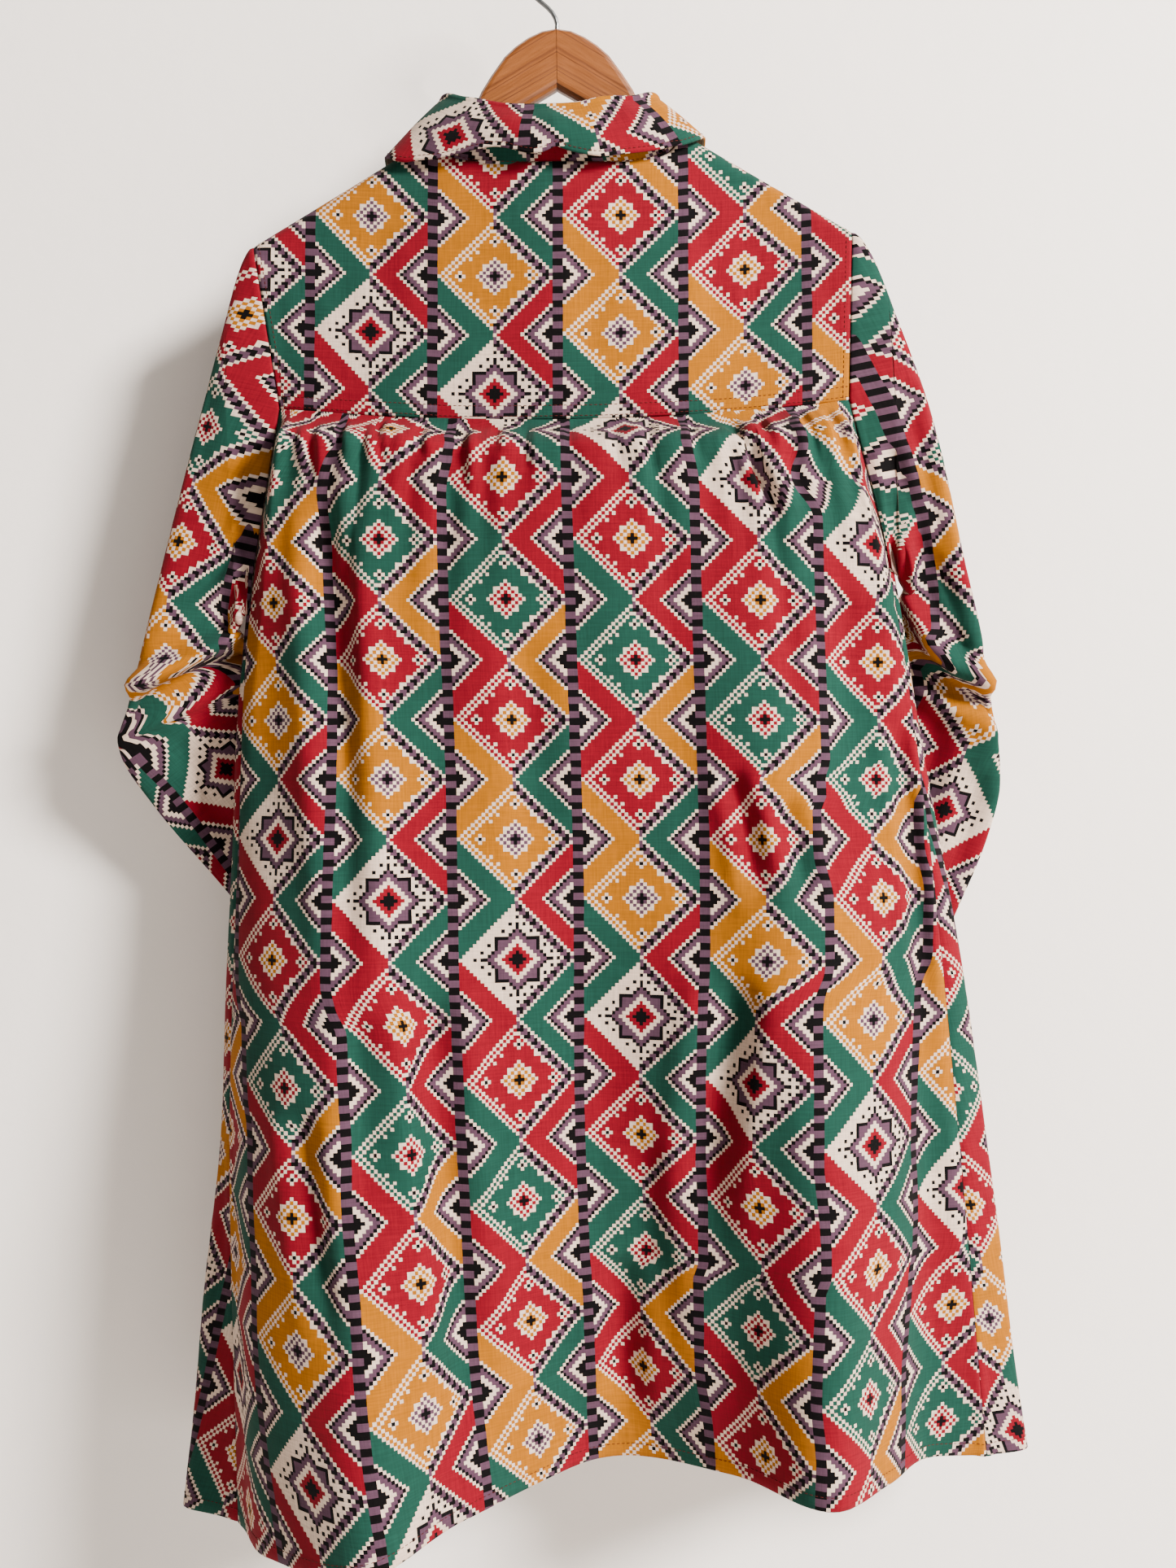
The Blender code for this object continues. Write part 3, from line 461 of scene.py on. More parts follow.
def spline(knots, values, at):
    """A smooth curve through the values at the knots, read at one place or several."""
    knots = np.asarray(knots, float)
    values = np.asarray(values, float)
    steps = np.diff(knots)
    slopes = np.diff(values, axis=0) / steps.reshape(-1, *[1] * (values.ndim - 1))
    tangents = np.concatenate([slopes[:1], (slopes[1:] + slopes[:-1]) / 2, slopes[-1:]])
    at = np.asarray(at, float)
    cell = np.clip(np.searchsorted(knots, at, side="right") - 1, 0, len(steps) - 1)
    width = steps[cell]
    t = (at - knots[cell]) / width
    shape = t.shape + (1,) * (values.ndim - 1)
    t = t.reshape(shape)
    width = width.reshape(shape)
    return (
        values[cell] * (2 * t**3 - 3 * t**2 + 1)
        + tangents[cell] * width * (t**3 - 2 * t**2 + t)
        + values[cell + 1] * (3 * t**2 - 2 * t**3)
        + tangents[cell + 1] * width * (t**3 - t**2)
    )


def run_lengths(points, axis=0):
    """The distance along lines of points to each of them."""
    points = np.moveaxis(points, axis, 0)
    steps = np.linalg.norm(np.diff(points, axis=0), axis=-1)
    lengths = np.concatenate([np.zeros_like(steps[:1]), np.cumsum(steps, axis=0)])
    return np.moveaxis(lengths, 0, axis)


def read_at(places, lengths, line):
    """The points of a line at some distances along it."""
    return np.stack([np.interp(places, lengths, values) for values in line.T], axis=-1)


def unit(vectors):
    """The vectors at a length of 1."""
    return vectors / np.maximum(np.linalg.norm(vectors, axis=-1, keepdims=True), TINY)


def smoothstep(t):
    t = np.clip(t, 0, 1)
    return t * t * (3 - 2 * t)


def ridge_height(x):
    """Height of the shoulder ridge, which the hanger's tilt lowers on the left."""
    slope = np.where(x < 0, math.tan(RIDGE_SLOPE + HANGER_TILT), math.tan(RIDGE_SLOPE - HANGER_TILT))
    return RIDGE_TOP - np.abs(x) * slope


def roll_radius(x):
    """Radius of the cloth's roll over the ridge, wide at the neck and tight at the shoulder."""
    return ROLL_AT_SHOULDER + (ROLL_AT_NECK - ROLL_AT_SHOULDER) * np.exp(-((x / ROLL_REACH) ** 2))


def level_height(down, across):
    """Height of the body at a level, for a share of the way from its left side to its right."""
    table = np.array([level[2:] for level in LEVELS])
    left, centre, right = np.moveaxis(spline([level[1] for level in LEVELS], table, down), -1, 0)
    bow = centre - (left + right) / 2
    return left + (right - left) * across + bow * 4 * across * (1 - across)


def body_ring(down):
    """A smooth closed line round the body at one level, with the run along it to each place."""
    knots = [level[1] for level in LEVELS]
    rows = [np.array(row[1:], float) * MM for row in BACK_PLACES + FRONT_PLACES]
    places = np.array([spline(knots, row, down) for row in rows])
    wrapped = np.concatenate([places[-RING_OVERLAP:], places, places[:RING_OVERLAP]])
    lengths = run_lengths(wrapped)
    fine_lengths = np.linspace(0, lengths[-1], RING_POINTS)
    fine = spline(lengths, wrapped, fine_lengths)
    walked = run_lengths(fine)
    stops = np.interp(lengths[RING_OVERLAP : 1 - RING_OVERLAP], fine_lengths, walked)
    return fine, walked, stops


def along_ring(ring, runs):
    fine, walked, _ = ring
    return read_at(runs, walked, fine)


def with_height(flat, down, left, right):
    share = np.clip((flat[:, 0] - left) / (right - left), 0, 1)
    return np.column_stack([flat, level_height(down, share)])


def crowded(count):
    """Shares from 0 to 1 that lie closer together near both ends."""
    share = np.linspace(0, 1, count + 1)
    return share - BACK_CROWDING * np.sin(2 * math.pi * share) / (2 * math.pi)


def back_line(down, count):
    """Points across the back panel at one level."""
    ring = body_ring(down)
    stops = ring[2]
    last = len(BACK_PLACES) - 1
    first, final = stops[0] + SIDE_SEAM_GAP / 2, stops[last] - SIDE_SEAM_GAP / 2
    flat = along_ring(ring, first + (final - first) * crowded(count))
    return with_height(flat, down, flat[0, 0], flat[-1, 0])


def front_line(side, down, beyond, lift, count):
    """Points of one front at one level, from its edge at centre front to the side seam."""
    ring = body_ring(down)
    stops = ring[2]
    centre = stops[len(BACK_PLACES) + CENTRE_FRONT]
    if side > 0:
        edge, seam = centre + beyond, stops[len(BACK_PLACES) - 1] + SIDE_SEAM_GAP / 2
    else:
        edge, seam = centre - beyond, stops[-1] - SIDE_SEAM_GAP / 2
    share = 1 - (1 - np.linspace(0, 1, count + 1)) ** FRONT_CROWDING
    runs = edge + (seam - edge) * share
    flat = along_ring(ring, runs)
    flat[:, 1] += lift * (1 - smoothstep((np.abs(runs - edge) - LAP_PLATEAU) / LAP_RAMP))
    left, right = back_line(down, 1)[:, 0]
    return with_height(flat, down, left, right)


def chest_front_line():
    """The whole front at the chest, from left to right."""
    left, right = (front_line(side, CHEST_DOWN, 0, 0, CHEST_POINTS) for side in (-1, 1))
    whole = np.concatenate([left[:0:-1], right])
    return whole[np.argsort(whole[:, 0])]


SEAM_LINE = back_line(0, SEAM_POINTS)
CHEST_LINE = chest_front_line()


def on_shoulder(x, over):
    """A point of the shoulder cloth: over is the distance along it from the ridge, negative on the back."""
    x = np.asarray(x, float)
    over = np.asarray(over, float)
    radius = roll_radius(x)
    ridge = ridge_height(x)
    turn = np.clip(over / radius, -math.pi / 2, math.pi / 2)
    below = np.maximum(np.abs(over) - radius * math.pi / 2, 0)
    back_y, back_z = (np.interp(x, SEAM_LINE[:, 0], SEAM_LINE[:, axis]) for axis in (1, 2))
    front_y, front_z = (np.interp(x, CHEST_LINE[:, 0], CHEST_LINE[:, axis]) for axis in (1, 2))
    lean_back = (back_y + radius) / (ridge - radius - back_z)
    lean_front = (front_y - radius) / (ridge - radius - front_z)
    y = radius * np.sin(turn) + below * np.where(over < 0, lean_back, lean_front)
    z = ridge - radius * (1 - np.cos(turn)) - below
    return np.stack([x, y, z], axis=-1)


def neck_place(turn):
    """(x, over) of the neckline at an angle from the centre back, positive to the right."""
    x = NECK_HALF_WIDTH * np.sin(turn)
    radius = roll_radius(x)
    level = ridge_height(x) - radius - NECK_BACK_HEIGHT + radius * math.pi / 2
    back = level * np.tanh(NECK_CORNER * np.maximum(np.cos(turn), 0)) / math.tanh(NECK_CORNER)
    front = NECK_DROP_FRONT * np.maximum(-np.cos(turn), 0) ** NECK_POWER_FRONT
    return np.stack([x, front - back], axis=-1)


# Grids of points for each panel


def yoke_grid():
    """The yoke's points: rows from the front seams and neckline down to the back seam."""
    gap = SEAM_GAP / 2
    front = YOKE_OVER_FRONT - gap
    corner = NECK_HALF_WIDTH * math.sin(NECK_END)
    count = YOKE_SEAM_COLUMNS + 1
    left = np.column_stack([np.linspace(SHOULDER_LEFT + gap, -corner, count), np.full(count, front)])
    right = np.column_stack([np.linspace(corner, SHOULDER_RIGHT - gap, count), np.full(count, front)])
    turns = np.linspace(-NECK_END, NECK_END, NECK_POINTS)
    neck = neck_place(turns)
    walked = run_lengths(on_shoulder(neck[:, 0], neck[:, 1]))
    wanted = np.linspace(0, walked[-1], YOKE_NECK_COLUMNS + 1)[1:-1]
    middle = neck_place(np.interp(wanted, walked, turns))
    top = np.concatenate([left, middle, right])
    seam = back_line(0, len(top) - 1)
    radius = roll_radius(seam[:, 0])
    bottom = -(radius * math.pi / 2 + ridge_height(seam[:, 0]) - radius - seam[:, 2]) + gap
    rows = np.linspace(0, 1, YOKE_ROWS + 1)[:, None]
    x = top[:, 0] + (seam[:, 0] - top[:, 0]) * rows
    over = top[:, 1] + (bottom - top[:, 1]) * rows
    return on_shoulder(x, over)


def gather_depth(across, below):
    """How far the gathers pull the cloth in, at a share across the yoke seam and a distance below it."""
    pulled = np.zeros(np.broadcast(across, below).shape)
    rise = smoothstep((below - GATHER_FLAT) / (GATHER_FULL_AT - GATHER_FLAT))
    for place, depth, length in GATHERS:
        fade = np.exp(-((below / (length * MM)) ** 2))
        spread = GATHER_HALF_WIDTH * (1 + GATHER_SPREAD * below / (length * MM))
        away = (across - place) / spread
        pulled += depth * MM * fade * rise * (np.exp(-(away**2)) - GATHER_RISE)
    return pulled


def back_downs():
    """How far down the back each row of its panel lies."""
    return np.linspace(0, 1, BACK_ROWS + 1) ** ROWS_DOWN_POWER


def back_grid():
    """The back panel's points, from the yoke seam down to the hem."""
    rows = np.stack([back_line(down, BACK_COLUMNS) for down in back_downs()])
    rows[0, :, 2] -= SEAM_GAP / 2
    across = crowded(BACK_COLUMNS)[None, :]
    below = rows[:1, :, 2] - rows[:, :, 2]
    edges = smoothstep(across / GATHER_EDGE) * smoothstep((1 - across) / GATHER_EDGE)
    rows[:, :, 1] += gather_depth(across, below) * edges
    return rows


def front_grid(side):
    """One front's points, from the neckline and yoke seam down to the hem."""
    gap = SEAM_GAP / 2
    lift = LAP_LIFT if side > 0 else 0
    start = math.pi + math.asin(LAP_HALF_WIDTH / NECK_HALF_WIDTH)
    neck = neck_place(np.linspace(start, NECK_END, NECK_POINTS // 2)) * [side, 1]
    walked = run_lengths(neck)
    wanted = np.linspace(0, walked[-1], FRONT_NECK_COLUMNS + 1)
    neck = read_at(wanted, walked, neck)
    shoulder = SHOULDER_LEFT + gap if side < 0 else SHOULDER_RIGHT - gap
    count = FRONT_SEAM_COLUMNS + 1
    corner = side * NECK_HALF_WIDTH * math.sin(NECK_END)
    seam = np.column_stack([np.linspace(corner, shoulder, count), np.full(count, YOKE_OVER_FRONT + gap)])
    top = np.concatenate([neck, seam[1:]])
    top_points = on_shoulder(top[:, 0], top[:, 1])
    near_lap = smoothstep((LAP_TOP_REACH - side * top[:, 0]) / LAP_TOP_FADE)
    top_points[:, 1] += lift * near_lap
    columns = len(top) - 1
    chest = front_line(side, CHEST_DOWN, LAP_HALF_WIDTH, lift, columns)
    shares = np.linspace(0, 1, FRONT_TOP_ROWS + 1)
    upper = [top_points + (chest - top_points) * share for share in shares]
    downs = np.linspace(CHEST_DOWN, 1, FRONT_LOW_ROWS + 1)[1:]
    lower = [front_line(side, down, LAP_HALF_WIDTH, lift, columns) for down in downs]
    return np.stack(upper + lower)


def armhole_ring(side, yoke, back, front):
    """Points round an armhole from the shoulder ridge down the back, and on up the front to the ridge."""
    edge = 0 if side < 0 else -1
    yoke_edge = yoke[:, edge]
    ridge_row = int(np.argmax(yoke_edge[:, 2]))
    chest_row = int(np.argmin(np.abs(back_downs() - CHEST_DOWN)))
    back_edge = back[: chest_row + 1, edge]
    front_edge = front[: FRONT_TOP_ROWS + 1, -1]
    down_back = np.concatenate([yoke_edge[ridge_row:], back_edge[1:]])
    up_front = np.concatenate([front_edge[-2::-1], yoke_edge[1:ridge_row]])
    return down_back, up_front


def sleeve_grid(table, side, ring):
    """A sleeve's rings of points, from its armhole to its open end."""
    down_back, up_front = ring
    head = np.concatenate([down_back, up_front])
    back_share = run_lengths(down_back) / run_lengths(down_back)[-1]
    front_walk = run_lengths(np.concatenate([down_back[-1:], up_front, down_back[:1]]))
    front_share = 1 - (front_walk / front_walk[-1])[1:-1]
    share = np.concatenate([back_share, front_share])
    is_back = np.concatenate([np.ones(len(back_share)), np.zeros(len(front_share))])
    along = (1 - np.cos(math.pi * share)) / 2
    stand_off = np.sin(math.pi * share) ** SECTION_POWER * (1 - INNER_FLATNESS * share)
    knots = [row[1] for row in table]
    outer, inner, faces = (
        np.array(values, float) * MM
        for values in ([row[2] for row in table], [row[3] for row in table], [row[4:] for row in table])
    )
    rings = []
    for down in np.linspace(0, 1, SLEEVE_ROWS):
        top, bottom, (towards, away) = (
            spline(knots, values, max(down, knots[0])) for values in (outer, inner, faces)
        )
        section = top + (bottom - top) * along[:, None]
        section[:, 1] += np.where(is_back > 0, -towards, away) * stand_off
        blend = smoothstep(down / HEAD_BLEND)
        start = head.copy()
        start[:, 0] += side * (HEAD_GAP + (UNDERARM_GAP - HEAD_GAP) * share**3)
        row = start + (section - start) * blend
        row[:, 0] = start[:, 0] + (section[:, 0] - start[:, 0]) * blend**HEAD_PUFF
        rings.append(row)
    return np.stack(rings)


def off_shoulder(points, clearance):
    """The points, moved out where they come nearer to the shoulder cloth than the clearance."""
    x, y, z = points.T
    radius = roll_radius(x)
    hub = ridge_height(x) - radius
    side = np.where(y < 0, -1, 1)
    surface = on_shoulder(x, side * (radius * math.pi / 2 + np.maximum(hub - z, 0)))
    above = z > hub
    reach = np.hypot(y, z - hub)
    least = np.where(above, radius, np.abs(surface[:, 1])) + clearance
    grown = np.maximum(least / np.maximum(reach, TINY), 1)
    moved = points.copy()
    moved[:, 1] = np.where(above, y * grown, side * np.maximum(np.abs(y), least))
    moved[:, 2] = np.where(above, hub + (z - hub) * grown, z)
    return moved


def collar_lines(turns):
    """The collar's fold line and lower edge at some angles from the centre back."""
    knots = [row[0] for row in COLLAR_LINES]
    fold, place = (
        spline(knots, np.array([row[column] for row in COLLAR_LINES], float) * MM, turns) for column in (1, 2)
    )
    on_cloth = on_shoulder(place[:, 0], place[:, 1])
    radius = roll_radius(place[:, 0])
    turn = np.clip(place[:, 1] / radius, -math.pi / 2, math.pi / 2)
    off = np.stack([np.zeros_like(turn), np.sin(turn), np.cos(turn)], axis=-1)
    return fold, on_cloth + off * place[:, 2:]


def collar_stand_grid():
    """The band from just above the neckline up to the fold."""
    end = COLLAR_END + STAND_BEYOND
    turns = np.linspace(-end, end, COLLAR_COLUMNS + 1)
    neck = neck_place(np.radians(turns))
    foot = on_shoulder(neck[:, 0], neck[:, 1])
    foot[:, :2] *= 1 - STAND_INSET / np.linalg.norm(foot[:, :2], axis=1)[:, None]
    foot[:, 2] += STAND_RAISE - STAND_TUCK * np.abs(np.cos(np.radians(turns)))
    fold, _ = collar_lines(turns)
    top = fold - [0, 0, FOLD_RADIUS]
    return np.stack([foot + (top - foot) * share for share in np.linspace(0, 1, STAND_ROWS)])


def collar_fall_grid():
    """The turned-down part: it hooks over the stand's top edge and falls outwards."""
    turns = np.linspace(-COLLAR_END, COLLAR_END, COLLAR_COLUMNS + 1)
    fold, edge = collar_lines(turns)
    run = np.gradient(fold, axis=0)
    outwards = unit(np.column_stack([run[:, 1], -run[:, 0], np.zeros(len(turns))]))
    up = np.array([0, 0, 1])
    hook = np.array([fold + outwards * out * FOLD_RADIUS + up * rise * MM for out, rise in FOLD_HOOK])
    rounded = spline(np.arange(len(hook)), hook, np.linspace(0, len(hook) - 1, HOOK_ROWS))
    rows = list(rounded[:-1])
    start = hook[-1]
    at_back = np.maximum(np.cos(np.radians(turns)), 0)[:, None]
    for share in np.linspace(0, 1, FALL_ROWS):
        bow = outwards * at_back * COLLAR_BOW * math.sin(math.pi * share)
        rows.append(off_shoulder(start + (edge - start) * share + bow, COLLAR_CLEARANCE))
    return np.stack(rows)


# Folds and creases


def grid_normals(grid, around=False):
    """Unit normals of a grid of points, by its neighbours down and across."""
    down = np.gradient(grid, axis=0)
    if around:
        across = (np.roll(grid, -1, axis=1) - np.roll(grid, 1, axis=1)) / 2
    else:
        across = np.gradient(grid, axis=1)
    return unit(np.cross(across, down))


def outward(grid, around=False):
    """The grid's normals, turned away from the inside of the shirt."""
    normals = grid_normals(grid, around)
    if around:
        away = grid - grid.mean(axis=1, keepdims=True)
    else:
        away = grid * [0, 1, 0]
    return normals if (normals * away).sum() > 0 else -normals


def near_line(flat, line):
    """For flat points: how far each lies from a line of places, and how far along the line that is."""
    ends = run_lengths(line)
    nearest = np.full(flat.shape[:-1], np.inf)
    place = np.zeros(flat.shape[:-1])
    for first, second, start, end in zip(line, line[1:], ends, ends[1:]):
        step = second - first
        share = np.clip((flat - first) @ step / (step @ step), 0, 1)
        away = np.linalg.norm(flat - first - share[..., None] * step, axis=-1)
        place = np.where(away < nearest, (start + share * (end - start)) / ends[-1], place)
        nearest = np.minimum(nearest, away)
    return nearest, place


def fold_depth(grid, folds):
    """How far the folds press each point in: a soft trough with a low crest on both sides."""
    pressed = np.zeros(grid.shape[:2])
    for depth, width, places in folds:
        away, place = near_line(grid[..., (0, 2)], np.array(places, float) * MM)
        across = away / (width * MM)
        trough = np.exp(-(across**2)) - CREST_SHARE * np.exp(-(((across - CREST_AWAY) / CREST_WIDTH) ** 2))
        fade = smoothstep(place / FADE_IN) * smoothstep((1 - place) / FADE_OUT)
        pressed += depth * MM * trough * fade
    return pressed


def unevenness(grid, size):
    """Low fixed waves, in radians for each metre, so that no stretch of cloth is quite smooth."""
    x, z = grid[..., 0], grid[..., 2]
    broad = np.sin(72 * x + 1.5 * np.sin(9 * z)) + 0.8 * np.sin(43 * x - 7 * z + 1.1)
    fine = 0.45 * np.sin(31 * z + 22 * x + 0.7) + 0.30 * np.sin(120 * x + 26 * z)
    return size * (broad + fine)


def from_edge(values, edge):
    """The rows or columns of a grid, counted from one of its edges."""
    values = values if edge in ("top", "bottom") else np.moveaxis(values, 1, 0)
    return values[::-1] if edge in ("bottom", "last") else values


def back_in_place(values, edge):
    """Rows or columns that were counted from an edge, back in the grid's own order."""
    values = values[::-1] if edge in ("bottom", "last") else values
    return values if edge in ("top", "bottom") else np.moveaxis(values, 0, 1)


def at_edge(grid, edge, reach):
    """1 along an edge, fading to 0 at a distance from it."""
    away = back_in_place(run_lengths(from_edge(grid, edge)), edge)
    return 1 - smoothstep(away / reach)


def shaped(grid, folds, waves, sunk, around, weight):
    """The grid with its folds and waves, and with its seam edges pressed in."""
    normals = outward(grid, around)
    inward = (fold_depth(grid, folds) + unevenness(grid, waves)) * weight
    for edge in sunk:
        inward = inward * (1 - at_edge(grid, edge, SEAM_CALM))
    for edge, depth in sunk.items():
        inward = inward + depth * MM * at_edge(grid, edge, SEAM_REACH)
    return grid - normals * inward[..., None]


def inset(grid, normals, edge, distance):
    """The line of points at a distance from an edge, and the normals there."""
    lines, ups = from_edge(grid, edge), from_edge(normals, edge)
    lengths = run_lengths(lines)
    return [
        np.array([read_at(distance, lengths[:, c], source[:, c]) for c in range(lengths.shape[1])])
        for source in (lines, ups)
    ]


def with_turned_edge(grid, uv, normals, edge, depth):
    """The grid, its chart and its normals, with the hem at an edge folded over to the inside."""
    points, chart, ups = (from_edge(values, edge) for values in (grid, uv, normals))
    deep = np.atleast_1d(depth)[:, None]
    beyond = unit(points[0] - points[1])
    step = (chart[0] - chart[1]) * HEM_PRINT_STEP
    turned = [points[0] + beyond * deep * HEM_ROUND - ups[0] * deep / 2]
    charts = [chart[0] + step / 2]
    for back in range(HEM_ROWS + 1):
        turned.append(points[back] - ups[back] * deep)
        charts.append(2 * chart[0] - chart[back] + step)
    sides = np.concatenate([ups[:1], ups[: HEM_ROWS + 1]])
    added = (turned, charts, sides)
    whole = [np.concatenate([np.array(new)[::-1], old]) for new, old in zip(added, (points, chart, ups))]
    return tuple(back_in_place(values, edge) for values in whole)


def corner_depths(rows):
    """How far a front edge is turned in at each row: more over the hem, less for the turned hem itself."""
    depths = np.full(rows, FRONT_HEM_TURN)
    hem = rows - HEM_ROWS - 2
    over = np.linspace(1, 3, CORNER_STEPS) * FRONT_HEM_TURN
    depths[hem] = 2 * FRONT_HEM_TURN
    depths[hem - HEM_ROWS - 1 : hem] = over[-1]
    depths[hem - HEM_ROWS - 1 - CORNER_STEPS : hem - HEM_ROWS - 1] = over
    return depths


# Objects


def mesh_of(name, form):
    """A mesh of what a bmesh holds, which is then freed."""
    mesh = bpy.data.meshes.new(name)
    form.to_mesh(mesh)
    form.free()
    return mesh


def linked(name, data, *materials):
    """A new object of a mesh, lamp or camera in the scene. A mesh can get some of the shirt's materials."""
    for material in materials:
        data.materials.append(MATERIALS[material])
    made = bpy.data.objects.new(name, data)
    bpy.context.scene.collection.objects.link(made)
    return made


def carried(made):
    """The same object, riding on the empty of the one body, root."""
    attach(made, "root")
    return made


def cloth(name, grid, uv, around, wall):
    """A closed thin shell on a grid of points, printed outside and paler inside."""
    rows, columns = grid.shape[:2]
    normals = outward(grid, around)
    index = np.arange(rows * columns).reshape(rows, columns)
    if around:
        index = np.column_stack([index, index[:, :1]])
    quads = np.stack([index[:-1, :-1], index[:-1, 1:], index[1:, 1:], index[1:, :-1]], axis=-1).reshape(-1, 4)
    first = np.cross(grid[0, 1] - grid[0, 0], grid[1, 0] - grid[0, 0])
    if (first * normals[0, 0]).sum() < 0:
        quads = quads[:, ::-1]
    mesh = bpy.data.meshes.new(name)
    mesh.from_pydata(grid.reshape(-1, 3).tolist(), [], quads.tolist())
    mesh.update()
    layer = mesh.uv_layers.new(name="cut")
    corner_rows, corner_columns = np.divmod(quads.reshape(-1), columns)
    if around:
        closing = np.repeat(np.arange(len(quads)) % columns == columns - 1, 4)
        corner_columns = np.where(closing & (corner_columns == 0), columns, corner_columns)
    layer.data.foreach_set("uv", uv[corner_rows, corner_columns].reshape(-1))
    mesh.shade_smooth()
    made = linked(name, mesh, "print", "reverse")
    shell = made.modifiers.new("cloth", "SOLIDIFY")
    shell.thickness = wall
    shell.offset = 0
    shell.use_even_offset = False
    shell.material_offset = 1
    return made


def threads(name, bundles):
    """Short lengths of thread as one mesh, from bundles of paths, the way up along them, and their girths."""
    points, faces = [], []
    turns = np.arange(THREAD_SIDES) * 2 * math.pi / THREAD_SIDES
    for paths, ups, girths in bundles:
        along = np.gradient(paths, axis=1)
        side = unit(np.cross(along, ups))
        up = unit(np.cross(side, along))
        round_it = side[:, :, None] * np.cos(turns)[:, None] + up[:, :, None] * np.sin(turns)[:, None]
        radii = THREAD_RADIUS * np.array(girths)[:, None, None]
        rings = paths[:, :, None] + round_it * radii
        count, stations = rings.shape[:2]
        start = sum(len(block) for block in points)
        index = start + np.arange(rings[..., 0].size).reshape(count, stations, THREAD_SIDES)
        ahead = np.roll(index, -1, axis=2)
        walls = np.stack([index[:, :-1], ahead[:, :-1], ahead[:, 1:], index[:, 1:]], axis=-1)
        faces += walls.reshape(-1, 4).tolist()
        faces += index[:, 0, ::-1].tolist() + index[:, -1].tolist()
        points.append(rings.reshape(-1, 3))
    mesh = bpy.data.meshes.new(name)
    mesh.from_pydata(np.concatenate(points).tolist(), [], faces)
    form = bmesh.new()
    form.from_mesh(mesh)
    bmesh.ops.recalc_face_normals(form, faces=form.faces)
    form.to_mesh(mesh)
    form.free()
    mesh.shade_smooth()
    return carried(linked(name, mesh, "thread"))


def running_stitches(line, ups, wall):
    """A bundle of separate stitches along a line on the cloth's middle."""
    lengths = run_lengths(line)
    count = int(lengths[-1] / STITCH_PITCH)
    centres = (np.arange(count) + 0.5) * lengths[-1] / count
    places = centres[:, None] + np.array(STITCH_STATIONS) * STITCH_LENGTH
    up = unit(read_at(places, lengths, ups))
    lifts = wall / 2 + np.array(STITCH_RISE) * MM
    return read_at(places, lengths, line) + up * lifts[:, None], up, STITCH_GIRTH


def sheet(
    name, grid, chart, folds, waves, sunk, turned=(), stitched=(), around=False, wall=CLOTH, weight=1,
):
    """One sheet: its folds, its turned edges, its stitching and its printed shell."""
    grid = shaped(grid, folds, waves, sunk, around, weight)
    normals = outward(grid, around)
    bundles = []
    for edge, distance, *span in stitched:
        line, ups = inset(grid, normals, edge, distance * MM)
        if around:
            line, ups = (np.concatenate([values, values[:1]]) for values in (line, ups))
        first, last = (int(share * len(line)) for share in span or (0, 1))
        bundles.append(running_stitches(line[first:last], ups[first:last], wall))
    uv = chart(grid)
    for edge in turned:
        depth = FRONT_HEM_TURN if "front" in name else HEM_TURN
        if edge == "first":
            depth = corner_depths(len(grid))
        grid, uv, normals = with_turned_edge(grid, uv, normals, edge, depth)
    made = carried(cloth(f"{name}_cloth", grid, uv, around, wall))
    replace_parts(made, name)
    sewn = [threads(f"{name}_stitches", bundles)] if bundles else []


# Buttons


def button_mesh():
    """A turned button with a raised rim and four holes, its back on y = 0."""
    section = np.array(BUTTON_SECTION) * [BUTTON_RADIUS, BUTTON_THICK]
    form = bmesh.new()
    points = [form.verts.new((reach, rise, 0)) for reach, rise in section]
    edges = [form.edges.new(pair) for pair in zip(points, points[1:])]
    turned = {"cent": (0, 0, 0), "axis": (0, 1, 0), "angle": 2 * math.pi}
    bmesh.ops.spin(form, geom=points + edges, steps=BUTTON_STEPS, use_merge=True, **turned)
    bmesh.ops.remove_doubles(form, verts=form.verts, dist=1e-6)
    bmesh.ops.recalc_face_normals(form, faces=form.faces)
    blank = linked("button_blank", mesh_of("button_blank", form))
    drill = bmesh.new()
    for across in (-HOLE_OFFSET, HOLE_OFFSET):
        for up in (-HOLE_OFFSET, HOLE_OFFSET):
            place = Matrix.Translation((across, 0, up)) @ Matrix.Rotation(math.pi / 2, 4, "X")
            size = {"radius1": HOLE_RADIUS, "radius2": HOLE_RADIUS, "depth": 4 * BUTTON_THICK}
            bmesh.ops.create_cone(drill, cap_ends=True, segments=HOLE_SIDES, matrix=place, **size)
    cutter = linked("button_drill", mesh_of("button_drill", drill))
    cut = blank.modifiers.new("holes", "BOOLEAN")
    cut.operation = "DIFFERENCE"
    cut.solver = "EXACT"
    cut.object = cutter
    bpy.context.view_layer.update()
    made = bpy.data.meshes.new_from_object(blank.evaluated_get(bpy.context.evaluated_depsgraph_get()))
    made.name = "button"
    for thing in (blank, cutter):
        bpy.data.objects.remove(thing)
    made.shade_smooth()
    made.set_sharp_from_angle(angle=BUTTON_CREASE)
    made.materials.clear()
    made.materials.append(MATERIALS["button"])
    return made


def arched(ends, lift, bulge, count=5):
    """Paths between pairs of ends (x, z) on a face that looks along +Y, arched off it."""
    share = np.linspace(0, 1, count)
    starts, stops = np.moveaxis(np.array(ends), 1, 0)
    flat = starts[:, None] + (stops - starts)[:, None] * share[:, None]
    high = np.broadcast_to(lift + bulge * np.sin(math.pi * share), flat.shape[:2])
    return np.stack([flat[..., 0], high, flat[..., 1]], axis=-1)


